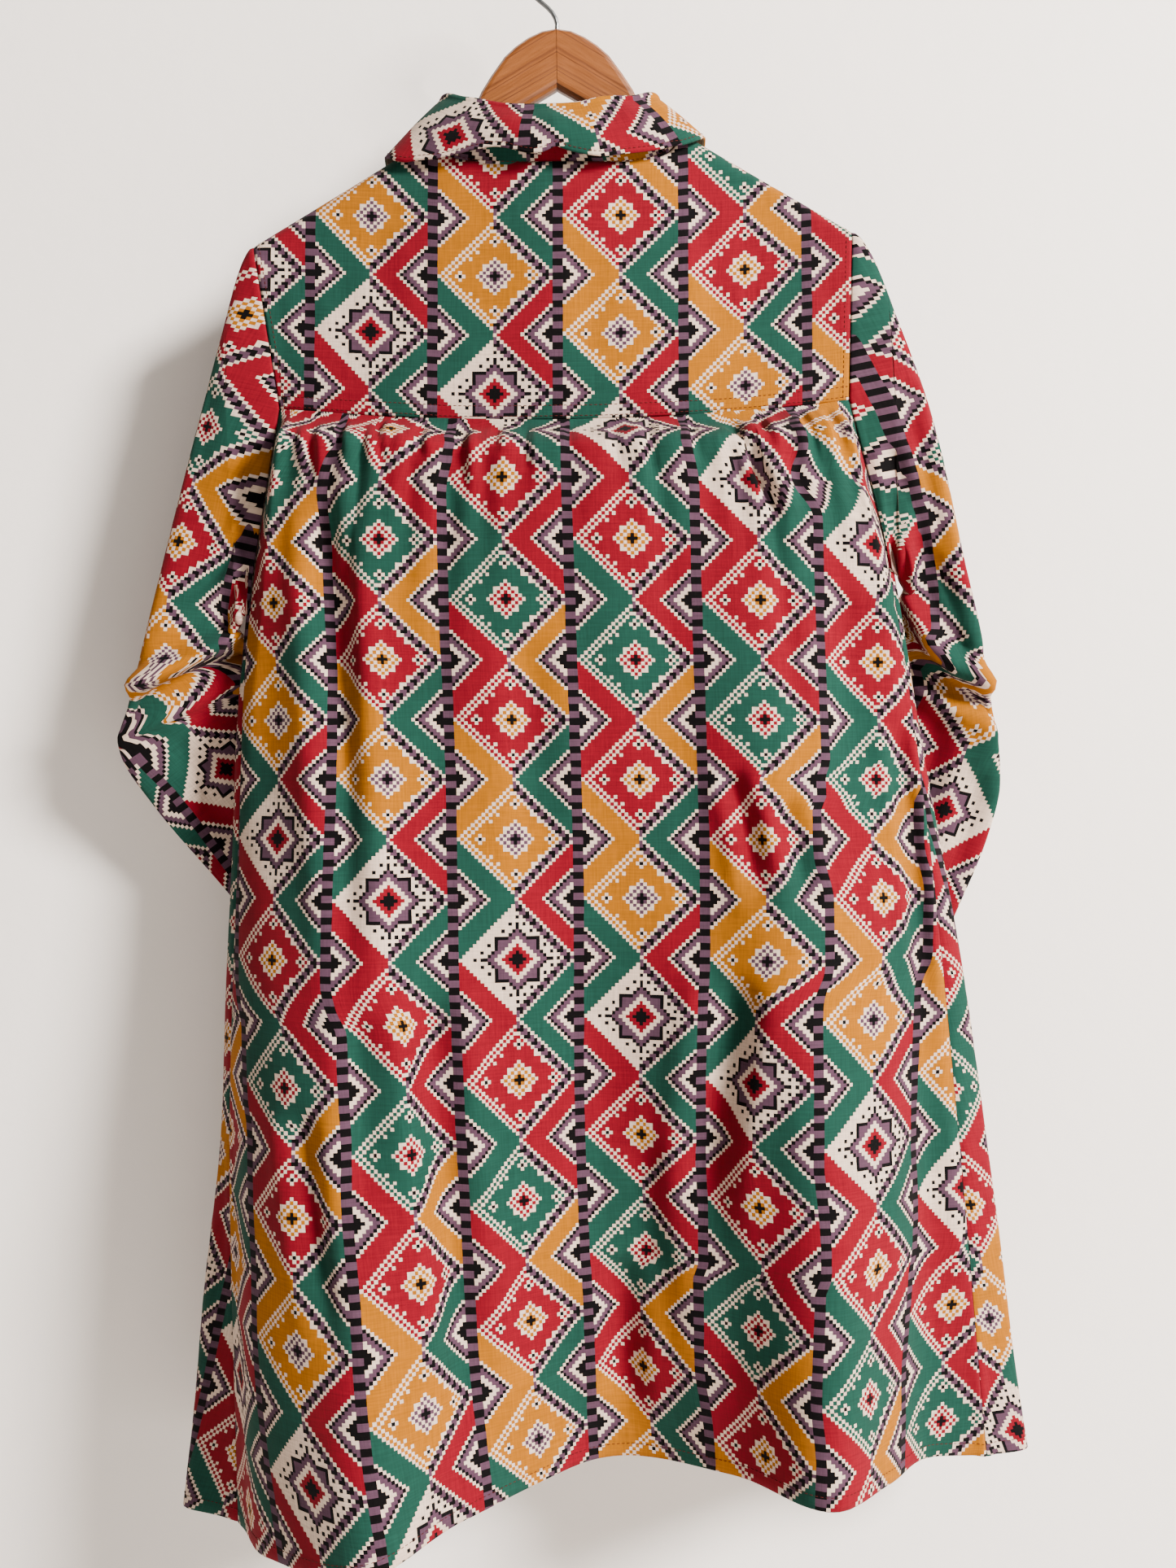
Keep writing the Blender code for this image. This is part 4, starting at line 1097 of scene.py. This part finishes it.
def button_threads():
    """Two crossed threads of two strands each, over the middle of a button."""
    ends = []
    for turn in (1, -1):
        for strand in (-BUTTON_STRAND, BUTTON_STRAND):
            low = (-HOLE_OFFSET - strand, -turn * (HOLE_OFFSET - strand))
            high = (HOLE_OFFSET - strand, turn * (HOLE_OFFSET + strand))
            ends.append((low, high))
    paths = arched(ends, BUTTON_THREAD_LIFT, BUTTON_THREAD_ARCH, 7)
    return paths, np.broadcast_to([0.0, 1.0, 0.0], paths.shape), (0.9, 1, 1, 1, 1, 1, 0.9)


def buttonhole_threads():
    """Close stitches up both sides of a slit, and a bar across each end of it."""
    ends = []
    for side in (-1, 1):
        for step in np.arange(-BUTTONHOLE_HALF, BUTTONHOLE_HALF, BUTTONHOLE_PITCH):
            ends.append(((side * BUTTONHOLE_SLIT, step), (side * BUTTONHOLE_BAR, step)))
    for end in (-BUTTONHOLE_HALF, BUTTONHOLE_HALF):
        for strand in (-BAR_STRAND, BAR_STRAND):
            ends.append(((-BUTTONHOLE_BAR, end + strand), (BUTTONHOLE_BAR, end + strand)))
    paths = arched(ends, BUTTONHOLE_LIFT, BUTTONHOLE_ARCH)
    return paths, np.broadcast_to([0.0, 1.0, 0.0], paths.shape), (0.6, 1, 1, 1, 0.6)


def make_buttons():
    """Each button on its solid's place, with its threads and its buttonhole on the upper front."""
    mesh = button_mesh()
    sewn = button_threads()
    hole = buttonhole_threads()
    for number in range(1, BUTTON_COUNT + 1):
        node = f"button_{number}"
        low, high = (np.array(corner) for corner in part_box(node))
        seat = np.array([(low[0] + high[0]) / 2, low[1], (low[2] + high[2]) / 2])
        made = linked(f"{node}_turned", mesh)
        made.location = seat
        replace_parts(carried(made), node)
        threads(f"{node}_thread", [(sewn[0] + seat, sewn[1], sewn[2])])
        on_cloth = seat - [0, BUTTON_SEAT, 0]
        threads(f"buttonhole_{number}", [(hole[0] + on_cloth, hole[1], hole[2])])


# Materials


def joined_by(operation, *fixed):
    """A method of Number that joins it to others in one operation."""
    return lambda self, *others: self.join(operation, *others, *fixed)


class Number:
    """A value worked out by a material's nodes, so that patterns read as plain arithmetic."""

    def __init__(self, tree, socket):
        self.tree = tree
        self.socket = socket

    def join(self, operation, *others):
        node = self.tree.nodes.new("ShaderNodeMath")
        node.operation = operation
        for slot, value in enumerate((self, *others)):
            if isinstance(value, Number):
                self.tree.links.new(value.socket, node.inputs[slot])
            else:
                node.inputs[slot].default_value = value
        return Number(self.tree, node.outputs[0])

    __add__ = joined_by("ADD")
    __sub__ = joined_by("SUBTRACT")
    __mul__ = joined_by("MULTIPLY")
    __truediv__ = joined_by("DIVIDE")
    floor = joined_by("FLOOR")
    size = joined_by("ABSOLUTE")
    modulo = joined_by("FLOORED_MODULO")
    less = joined_by("LESS_THAN")
    more = joined_by("GREATER_THAN")
    least = joined_by("MINIMUM")
    most = joined_by("MAXIMUM")
    near = joined_by("COMPARE", 0.5)


def coordinates(tree, on_cloth):
    """Where a point lies: on the cut cloth by its own chart, or in the object."""
    if not on_cloth:
        return tree.nodes.new("ShaderNodeTexCoord").outputs["Object"]
    chart = tree.nodes.new("ShaderNodeUVMap")
    chart.uv_map = "cut"
    return chart.outputs["UV"]


def axes(tree, on_cloth=False):
    """The separate coordinates of a place."""
    apart = tree.nodes.new("ShaderNodeSeparateXYZ")
    tree.links.new(coordinates(tree, on_cloth), apart.inputs[0])
    return [Number(tree, apart.outputs[axis]) for axis in range(3)]


def painted(tree, colour, parts):
    """The colour with each part painted over it in turn, as (mask, colour)."""
    for mask, paint in parts:
        mix = tree.nodes.new("ShaderNodeMix")
        mix.data_type = "RGBA"
        tree.links.new(mask.socket, mix.inputs["Factor"])
        for slot, value in (("A", colour), ("B", paint)):
            socket = next(s for s in mix.inputs if s.name == slot and s.type == "RGBA")
            if isinstance(value, tuple):
                socket.default_value = (*value, 1)
            else:
                tree.links.new(value, socket)
        colour = next(s for s in mix.outputs if s.type == "RGBA")
    return colour


def diamond_colour(tree, kind, plain):
    """One of the print's ground colours, by a number from 0 to 4."""
    return painted(tree, RED, [(kind.near(1), OCHRE), (kind.near(2), GREEN), (kind.near(3), plain)])


def nested(measure, steps, where=None):
    """Parts that lie one inside another, each where a measure is less than its limit."""
    masks = [measure.less(limit) for limit, _ in steps]
    return [(where * mask if where else mask, colour) for mask, (_, colour) in zip(masks, steps)]


def print_colours(tree, slubs):
    """The stepped print, counted in cells: columns of diamonds with stars, and bands between them."""
    u, v, _ = axes(tree, on_cloth=True)
    i = ((u + (slubs[0] - 0.5) * RAGGED) / CELL).floor()
    j = ((v + (slubs[1] - 0.5) * RAGGED) / CELL).floor()

    # Offsets from the middle of a column and of the diamond in it
    column = (i / COLUMN).floor()
    fall = j + column * (DIAMOND / 2)
    row = (fall / DIAMOND).floor()
    between_rows = ((fall + DIAMOND / 2) / DIAMOND).floor()
    xs = i.modulo(COLUMN) - COLUMN / 2
    ys = fall.modulo(DIAMOND) - DIAMOND / 2
    x, y = xs.size(), ys.size()
    on_right = xs.more(-0.5)
    out = x + y
    wide = x.most(y)

    # Grounds: the diamonds, and the triangles beside them
    kind = (row * 2 + column * 3).modulo(5)
    beside = (between_rows * 2 + column * 3 + on_right * 2).modulo(5)
    inside = out.less(15.5)
    ground = diamond_colour(tree, beside, GREEN)
    diamond = diamond_colour(tree, kind, CREAM)
    accent = painted(tree, OCHRE, [(kind.near(1), MAUVE), (kind.near(2), RED), (kind.near(3), GREEN)])

    # Figures
    medal = kind.near(3) * inside
    small = (wide - 3).least(out - 5)
    large = (wide - 6).least(out - 9)
    flower = (x + (y - 10).size()).least((x - 10).size() + y)
    dots = x.near(7) * y.near(5) + x.near(5) * y.near(7)
    beyond = out * -1 + DIAMOND

    # Edges of the diamonds: a chain on the right, two stepped lines on the left
    links = (x - y + 60).modulo(4).less(1.5)
    on_left = on_right * -1 + 1
    chain = on_right * out.more(13.5) * out.less(16.5)

    # Squares of two cells on the cream diamonds
    even = x.modulo(4).less(1.5) * y.modulo(4).less(1.5)
    odd = (x + 2).modulo(4).less(1.5) * (y + 2).modulo(4).less(1.5)
    dotted = medal * (even + odd).least(1) * out.less(13) * large.more(1.5)

    # Narrow chains between the columns
    band = x.more(16.5)
    block = j.modulo(4).less(1.5)

    lines = ((13, on_right), (17, on_right), (14, on_left), (16, on_left))
    return painted(tree, ground, [
        (inside, diamond),
        (dots.least(1) * inside, CREAM),
        (flower.near(1) * inside, CREAM),
        (flower.near(0) * inside, BLACK),
        (dotted, BLACK),
        *nested(small, ((0.5, CREAM), (-0.5, accent), (-1.5, CREAM), (-2.5, accent), (-3.5, BLACK))),
        *nested(large, ((0.5, BLACK), (-0.5, MAUVE), (-2.5, CREAM), (-4.5, RED), (-6.5, BLACK)), medal),
        *[(out.near(step) * half, CREAM) for step, half in lines],
        (chain, BLACK),
        (chain * links, MAUVE),
        *nested(beyond, ((9.5, CREAM), (8.5, BLACK), (7.5, MAUVE), (5.5, CREAM), (3.5, BLACK))),
        (band, BLACK),
        (band * block, MAUVE),
    ])


def noise_at(tree, where, scale, detail):
    made = tree.nodes.new("ShaderNodeTexNoise")
    made.inputs["Scale"].default_value = scale
    made.inputs["Detail"].default_value = detail
    tree.links.new(where, made.inputs["Vector"])
    return Number(tree, made.outputs["Fac"])


def noise(tree, scale, detail=2.0, stretch=(1, 1, 1), on_cloth=False):
    """Noise of a scale and a detail, in the object's space or along the cloth's own threads."""
    mapping = tree.nodes.new("ShaderNodeMapping")
    mapping.inputs["Scale"].default_value = stretch
    tree.links.new(coordinates(tree, on_cloth), mapping.inputs["Vector"])
    return noise_at(tree, mapping.outputs[0], scale, detail)


def new_material(name, roughness, **uniform):
    made = bpy.data.materials.new(name)
    made.use_nodes = True
    shader = made.node_tree.nodes["Principled BSDF"]
    shader.inputs["Roughness"].default_value = roughness
    for key, value in uniform.items():
        shader.inputs[key.replace("_", " ")].default_value = value
    return made, made.node_tree, shader


def add_bump(tree, shader, height, distance, strength):
    bump = tree.nodes.new("ShaderNodeBump")
    bump.inputs["Distance"].default_value = distance
    bump.inputs["Strength"].default_value = strength
    tree.links.new(height.socket, bump.inputs["Height"])
    tree.links.new(bump.outputs[0], shader.inputs["Normal"])


def join_up(tree, shader, colour, shade, bump, roughness=None):
    """Joins up a material: a colour times a shade, a bump as (height, distance, strength), a roughness."""
    if isinstance(colour, tuple):
        base = tree.nodes.new("ShaderNodeRGB")
        base.outputs[0].default_value = (*colour, 1)
        colour = base.outputs[0]
    scale = tree.nodes.new("ShaderNodeVectorMath")
    scale.operation = "SCALE"
    tree.links.new(colour, scale.inputs[0])
    tree.links.new(shade.socket, scale.inputs["Scale"])
    tree.links.new(scale.outputs[0], shader.inputs["Base Color"])
    if roughness:
        tree.links.new(roughness.socket, shader.inputs["Roughness"])
    add_bump(tree, shader, *bump)


def cloth_material(name, pale):
    """Matte printed cotton. The pale one is the cloth's inside, where the print shows through faintly."""
    sheen = {"Sheen_Weight": 0.015, "Sheen_Roughness": 0.6}
    made, tree, shader = new_material(name, 0.88, Specular_IOR_Level=0.06, **sheen)
    slubs = [noise(tree, 900, 1.0, stretch, on_cloth=True) for stretch in ((1, 0.06, 1), (0.06, 1, 1))]
    both = (slubs[0] + slubs[1]) * 0.5
    blotches = noise(tree, 14, 3.0, on_cloth=True)
    colour = print_colours(tree, slubs)
    if pale:
        colour = painted(tree, colour, [(blotches * 0.2 + 0.4, CREAM)])
    join_up(tree, shader, colour, both * 1.05 + blotches * 0.20 + 0.37, (both, 0.14 * MM, 0.9))
    return made


def wood_material(name, side):
    """Oiled wood with dark grain lines along one arm of the hanger."""
    made, tree, shader = new_material(name, 0.40, Coat_Weight=0.18, Coat_Roughness=0.32)
    x, y, z = axes(tree)
    cosine, sine = math.cos(RIDGE_SLOPE), math.sin(RIDGE_SLOPE)
    along = x * (side * cosine) - z * sine
    across = x * (side * sine) + z * cosine
    joined = tree.nodes.new("ShaderNodeCombineXYZ")
    for value, socket in zip((along * GRAIN_ALONG, y, across), joined.inputs):
        tree.links.new(value.socket, socket)
    bands, fibres, wander = (
        noise_at(tree, joined.outputs[0], scale, detail) for scale, detail in ((120, 3), (1100, 2), (45, 2))
    )
    rings = (across * GRAIN_PAIRS + wander * GRAIN_WANDER).modulo(1)
    thin, wide = (((rings - at).size() * -1 + half).most(0) * dark for at, half, dark in GRAIN_LINES)
    colour = painted(tree, WOOD_PALE, [(bands, WOOD_DARK), ((thin + wide).least(1), WOOD_LINE)])
    join_up(tree, shader, colour, fibres * 0.7 + 0.65, (fibres, 0.08 * MM, 0.5), fibres * 0.25 + 0.28)
    return made


def glue_material():
    made, tree, shader = new_material("old_wood_glue", 0.5)
    cloudy = noise(tree, 400)
    join_up(tree, shader, WOOD_LINE, cloudy + 0.3, (cloudy, 0.03 * MM, 0.4), cloudy * 0.3 + 0.35)
    return made


def steel_material():
    """Dull steel wire with small dark specks."""
    made, tree, shader = new_material("hook_steel", 0.32, Metallic=1.0)
    tarnish = noise(tree, 220, 3.0)
    specks = noise(tree, 1500, 1.0).more(0.66)
    colour = painted(tree, STEEL, [(specks * 0.8, BLACK)])
    rough = tarnish * 0.25 + specks * 0.3 + 0.32
    join_up(tree, shader, colour, tarnish * 0.6 + 0.7, (specks * -1, 0.05 * MM, 0.6), rough)
    return made


def button_material():
    made, tree, shader = new_material("button_resin", 0.28, Coat_Weight=0.3, Coat_Roughness=0.15)
    swirl = noise(tree, 260, 4.0, (1, 1, 0.3))
    scratches = noise(tree, 900, 2.0, (1, 1, 0.1))
    join_up(tree, shader, RESIN, swirl * 1.6 + 0.3, (scratches, 0.02 * MM, 0.4), scratches * 0.2 + 0.18)
    return made


def thread_material():
    made, tree, shader = new_material("sewing_thread", 0.8, Specular_IOR_Level=0.12)
    twist = noise(tree, 2500, 1.0)
    join_up(tree, shader, THREAD, twist * 0.8 + 0.6, (twist, 0.05 * MM, 0.6))
    return made


MATERIALS = {
    "print": cloth_material("printed_cotton", False),
    "reverse": cloth_material("printed_cotton_reverse", True),
    "wood_left": wood_material("oiled_wood_left", -1),
    "wood_right": wood_material("oiled_wood_right", 1),
    "glue": glue_material(),
    "steel": steel_material(),
    "button": button_material(),
    "thread": thread_material(),
}


# Places on the cut cloth


def cut_across(grid, middle):
    """Distances along each row from the column at a share of its width."""
    lengths = run_lengths(grid, axis=1)
    column = int(round(middle * (grid.shape[1] - 1)))
    return lengths - lengths[:, column : column + 1]


def length_at_height(grid):
    """Lengths down a panel as its mean line has them at each height: its crosswise threads hang level."""
    heights = grid[..., 2].mean(axis=1)
    lengths = run_lengths(grid).mean(axis=1)
    heights = np.concatenate([[heights[0] + BEYOND], heights, [heights[-1] - BEYOND]])
    lengths = np.concatenate([[-BEYOND], lengths, [lengths[-1] + BEYOND]])
    return np.interp(-grid[..., 2], -heights, lengths)


def body_uv(grid, middle, shift=0.0, gathered=0.0):
    """Across and down the cut of a body panel. Gathered cloth is crowded at its seam, print and all."""
    across = cut_across(grid, middle) + shift
    own = run_lengths(grid)
    down = length_at_height(grid)
    row = int(np.argmax(down.mean(axis=1) > gathered))
    across[:row] = across[row]
    down[:row] = down[row] - own[row] + own[:row]
    return np.stack([across, down - grid[0, :, 2].mean()], axis=-1)


def yoke_uv(grid):
    up = run_lengths(grid[::-1], axis=0)[::-1]
    return np.stack([grid[:, :, 0], YOKE_DROP - up], axis=-1)


def sleeve_uv(grid, shift):
    """Round and down a sleeve: down along the arm, and round it square to that, from the outer edge."""
    spine = grid.mean(axis=1)
    run = unit(np.gradient(spine, axis=0))
    start = int(SLEEVE_STRAIGHT * len(grid))
    run[:start] = run[start]
    walked = run_lengths(spine)
    walked = walked - walked[start]
    walked[:start] = ((spine[:start] - spine[start]) * run[start]).sum(axis=-1)
    closed = np.concatenate([grid, grid[:, :1]], axis=1)
    down = walked[:, None] + ((closed - spine[:, None]) * run[:, None]).sum(axis=-1)
    steps = np.diff(closed, axis=1)
    steps = steps - (steps * run[:, None]).sum(axis=-1, keepdims=True) * run[:, None]
    walks = np.cumsum(np.linalg.norm(steps, axis=-1), axis=1)
    around = np.concatenate([np.zeros((len(grid), 1)), walks], axis=1)
    out = np.column_stack([-run[:, 2], np.zeros(len(run)), run[:, 0]]) * np.sign(spine[start, 0])
    reach = ((grid[:, 0] - spine) * out).sum(axis=-1)
    return np.stack([around - reach[:, None] + shift, down + SLEEVE_DROP], axis=-1)


def collar_uv(grid, shift):
    across = run_lengths(grid, axis=1)
    row = across[len(across) // 2]
    down = run_lengths(grid, axis=0)
    return np.stack([np.broadcast_to(row, down.shape) + shift, down], axis=-1)


# The shirt


def yoke_weight(grid):
    """Only the yoke's back, clear of the hanger, is uneven."""
    below = ridge_height(grid[..., 0]) - grid[..., 2]
    return smoothstep((below - YOKE_CALM) / YOKE_CALM) * (grid[..., 1] < 0)


def front_weight(grid):
    return smoothstep((run_lengths(grid, axis=1) - LAP_CALM) / LAP_CALM_FADE)


def sleeve_weight(grid):
    """A sleeve's folds show on its side towards the viewer, and only a share of them away from there."""
    towards = -outward(grid, True)[..., 1]
    return SHARE_BEHIND + (1 - SHARE_BEHIND) * smoothstep((towards - FACING_FROM) / FACING_REACH)


def make_glue_line():
    """The thin line of glue between the hanger's halves, from the head's rounded top down to the notch."""
    form = bmesh.new()
    outline = []
    for corner in range(4):
        across = 1 if corner in (0, 3) else -1
        centre = GLUE_TOP - GLUE_CORNER if corner < 2 else GLUE_BOTTOM + GLUE_CORNER
        for step in range(GLUE_STEPS + 1):
            angle = (corner + step / GLUE_STEPS) * math.pi / 2
            y = across * (GLUE_HALF_DEPTH - GLUE_CORNER) + GLUE_CORNER * math.cos(angle)
            outline.append((y, centre + GLUE_CORNER * math.sin(angle)))
    side = form.faces.new([form.verts.new((-GLUE_THICK / 2, y, z)) for y, z in outline])
    pushed = bmesh.ops.extrude_face_region(form, geom=[side])
    moved = [item for item in pushed["geom"] if isinstance(item, bmesh.types.BMVert)]
    bmesh.ops.translate(form, verts=moved, vec=(GLUE_THICK, 0, 0))
    to_ridge = Matrix.Translation((0, 0, RIDGE_TOP))
    turn = to_ridge @ Matrix.Rotation(-HANGER_TILT, 4, "Y") @ to_ridge.inverted()
    bmesh.ops.transform(form, matrix=turn, verts=form.verts)
    bmesh.ops.recalc_face_normals(form, faces=form.faces)
    carried(linked("hanger_glue_line", mesh_of("hanger_glue_line", form), "glue"))


def dress_shirt():
    yoke = yoke_grid()
    back = back_grid()
    front_left, front_right = (front_grid(side) for side in (-1, 1))
    left_ring = armhole_ring(-1, yoke, back, front_left)
    right_ring = armhole_ring(1, yoke, back, front_right)

    corner = at_edge(front_right, "bottom", CORNER_REACH) * at_edge(front_right, "first", CORNER_REACH)
    front_right[..., 1] += CORNER_CURL * corner

    # Lines of stitches: edge, distance from it in millimetres, and the share of it that they run along
    seam_share = YOKE_SEAM_COLUMNS / (2 * YOKE_SEAM_COLUMNS + YOKE_NECK_COLUMNS)
    sheet(
        "back_yoke", yoke, yoke_uv, YOKE_FOLDS, YOKE_WAVES, {"first": 0.4, "last": 0.4},
        turned=("bottom",),
        stitched=(("bottom", 1.3), ("bottom", 8.2), ("top", 1.5, 0, seam_share),
                  ("top", 1.5, 1 - seam_share, 1), ("first", 4), ("last", 4)),
        weight=yoke_weight(yoke),
    )
    chart = partial(body_uv, middle=0.5, gathered=GATHERED_LENGTH)
    sheet(
        "back_panel", back, chart, BACK_FOLDS, BACK_WAVES, {"top": 0.8, "first": 0.7, "last": 0.7},
        turned=("bottom",), stitched=(("bottom", 8),),
    )
    for name, grid, shift in (
        ("front_left", front_left, FRONT_LEFT_SHIFT),
        ("front_right", front_right, FRONT_RIGHT_SHIFT),
    ):
        chart = partial(body_uv, middle=0, shift=shift)
        sheet(
            name, grid, chart, FRONT_FOLDS, FRONT_WAVES, {"top": 0.9, "last": 0.7},
            turned=("bottom", "first"), stitched=(("bottom", 8), ("first", 5)), weight=front_weight(grid),
        )
    for name, sections, side, ring, folds, shift in (
        ("sleeve_left", SLEEVE_LEFT, -1, left_ring, LEFT_SLEEVE_FOLDS, SLEEVE_LEFT_SHIFT),
        ("sleeve_right", SLEEVE_RIGHT, 1, right_ring, RIGHT_SLEEVE_FOLDS, SLEEVE_RIGHT_SHIFT),
    ):
        sleeve = sleeve_grid(sections, side, ring)
        sheet(
            name, sleeve, partial(sleeve_uv, shift=shift), folds, SLEEVE_WAVES, {"top": 0.7},
            turned=("bottom",), stitched=(("bottom", 6),), around=True, weight=sleeve_weight(sleeve),
        )
    sheet(
        "collar_stand", collar_stand_grid(), partial(collar_uv, shift=STAND_SHIFT), (), 0, {},
        stitched=(("top", 2),), wall=COLLAR_CLOTH,
    )
    sheet(
        "collar_fall", collar_fall_grid(), partial(collar_uv, shift=FALL_SHIFT), COLLAR_FOLDS, FALL_WAVES, {},
        stitched=(("bottom", 3, 0.01, 0.99), ("first", 3, 0.5, 1), ("last", 3, 0.5, 1)),
        wall=COLLAR_CLOTH,
    )

    make_buttons()
    make_glue_line()
    looks = {"hanger_half_left": "wood_left", "hanger_half_right": "wood_right", "hanger_hook": "steel"}
    for node, name in looks.items():
        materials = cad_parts[node].data.materials
        materials.clear()
        materials.append(MATERIALS[name])


# Wall, floor, light and camera


def plane(name, outline, material):
    mesh = bpy.data.meshes.new(name)
    mesh.from_pydata(outline, [], [(0, 1, 2, 3)])
    mesh.materials.append(material)
    linked(name, mesh)


def plaster_material():
    """Pale plaster that is seen from its lit side only, so that it hides nothing in views from behind."""
    made, tree, shader = new_material("pale_plaster", 0.9)
    shader.inputs["Base Color"].default_value = (*PLASTER, 1)
    add_bump(tree, shader, noise(tree, 60, 6.0), 1.5 * MM, 0.25)
    geometry = tree.nodes.new("ShaderNodeNewGeometry")
    clear = tree.nodes.new("ShaderNodeBsdfTransparent")
    mix = tree.nodes.new("ShaderNodeMixShader")
    tree.links.new(geometry.outputs["Backfacing"], mix.inputs[0])
    tree.links.new(shader.outputs[0], mix.inputs[1])
    tree.links.new(clear.outputs[0], mix.inputs[2])
    tree.links.new(mix.outputs[0], tree.nodes["Material Output"].inputs["Surface"])
    return made


def corners(across, deep):
    """The four corners of a rectangle in turn, from its two ranges."""
    (left, right), (near, far) = across, deep
    return [(left, near), (right, near), (right, far), (left, far)]


def make_room():
    """A wall close behind the shirt, and a floor well under it."""
    wall = [(x, WALL_Y, z) for x, z in corners(ROOM_ACROSS, WALL_UP)]
    floor = [(x, y, FLOOR_Z) for x, y in corners(ROOM_ACROSS, FLOOR_DEEP)]
    plane("backdrop", wall, plaster_material())
    material, _, shader = new_material("pale_floor", 0.8)
    shader.inputs["Base Color"].default_value = (*FLOOR, 1)
    plane("floor", floor, material)


def light_room():
    for name, spot, size, power, colour in LAMPS:
        data = bpy.data.lights.new(name, "AREA")
        data.shape = "DISK"
        data.size = size
        data.energy = power
        data.color = colour
        lamp = linked(name, data)
        lamp.location = spot
        lamp.rotation_euler = Vector(np.subtract(SHIRT_MIDDLE, spot)).to_track_quat("-Z", "Y").to_euler()
    world = bpy.data.worlds.new("room")
    bpy.context.scene.world = world
    world.use_nodes = True
    background = world.node_tree.nodes["Background"]
    background.inputs["Color"].default_value = (*ROOM, 1)
    background.inputs["Strength"].default_value = ROOM_LIGHT


def set_camera():
    """A level camera behind the shirt's back."""
    data = bpy.data.cameras.new("camera")
    data.sensor_width = SENSOR_WIDTH
    data.lens = SENSOR_WIDTH / 2 / math.tan(CAMERA_HALF_ANGLE)
    camera = linked("camera", data)
    camera.location = CAMERA_PLACE
    camera.rotation_euler = (math.radians(90), 0, 0)
    bpy.context.scene.camera = camera


dress_shirt()
make_room()
light_room()
set_camera()
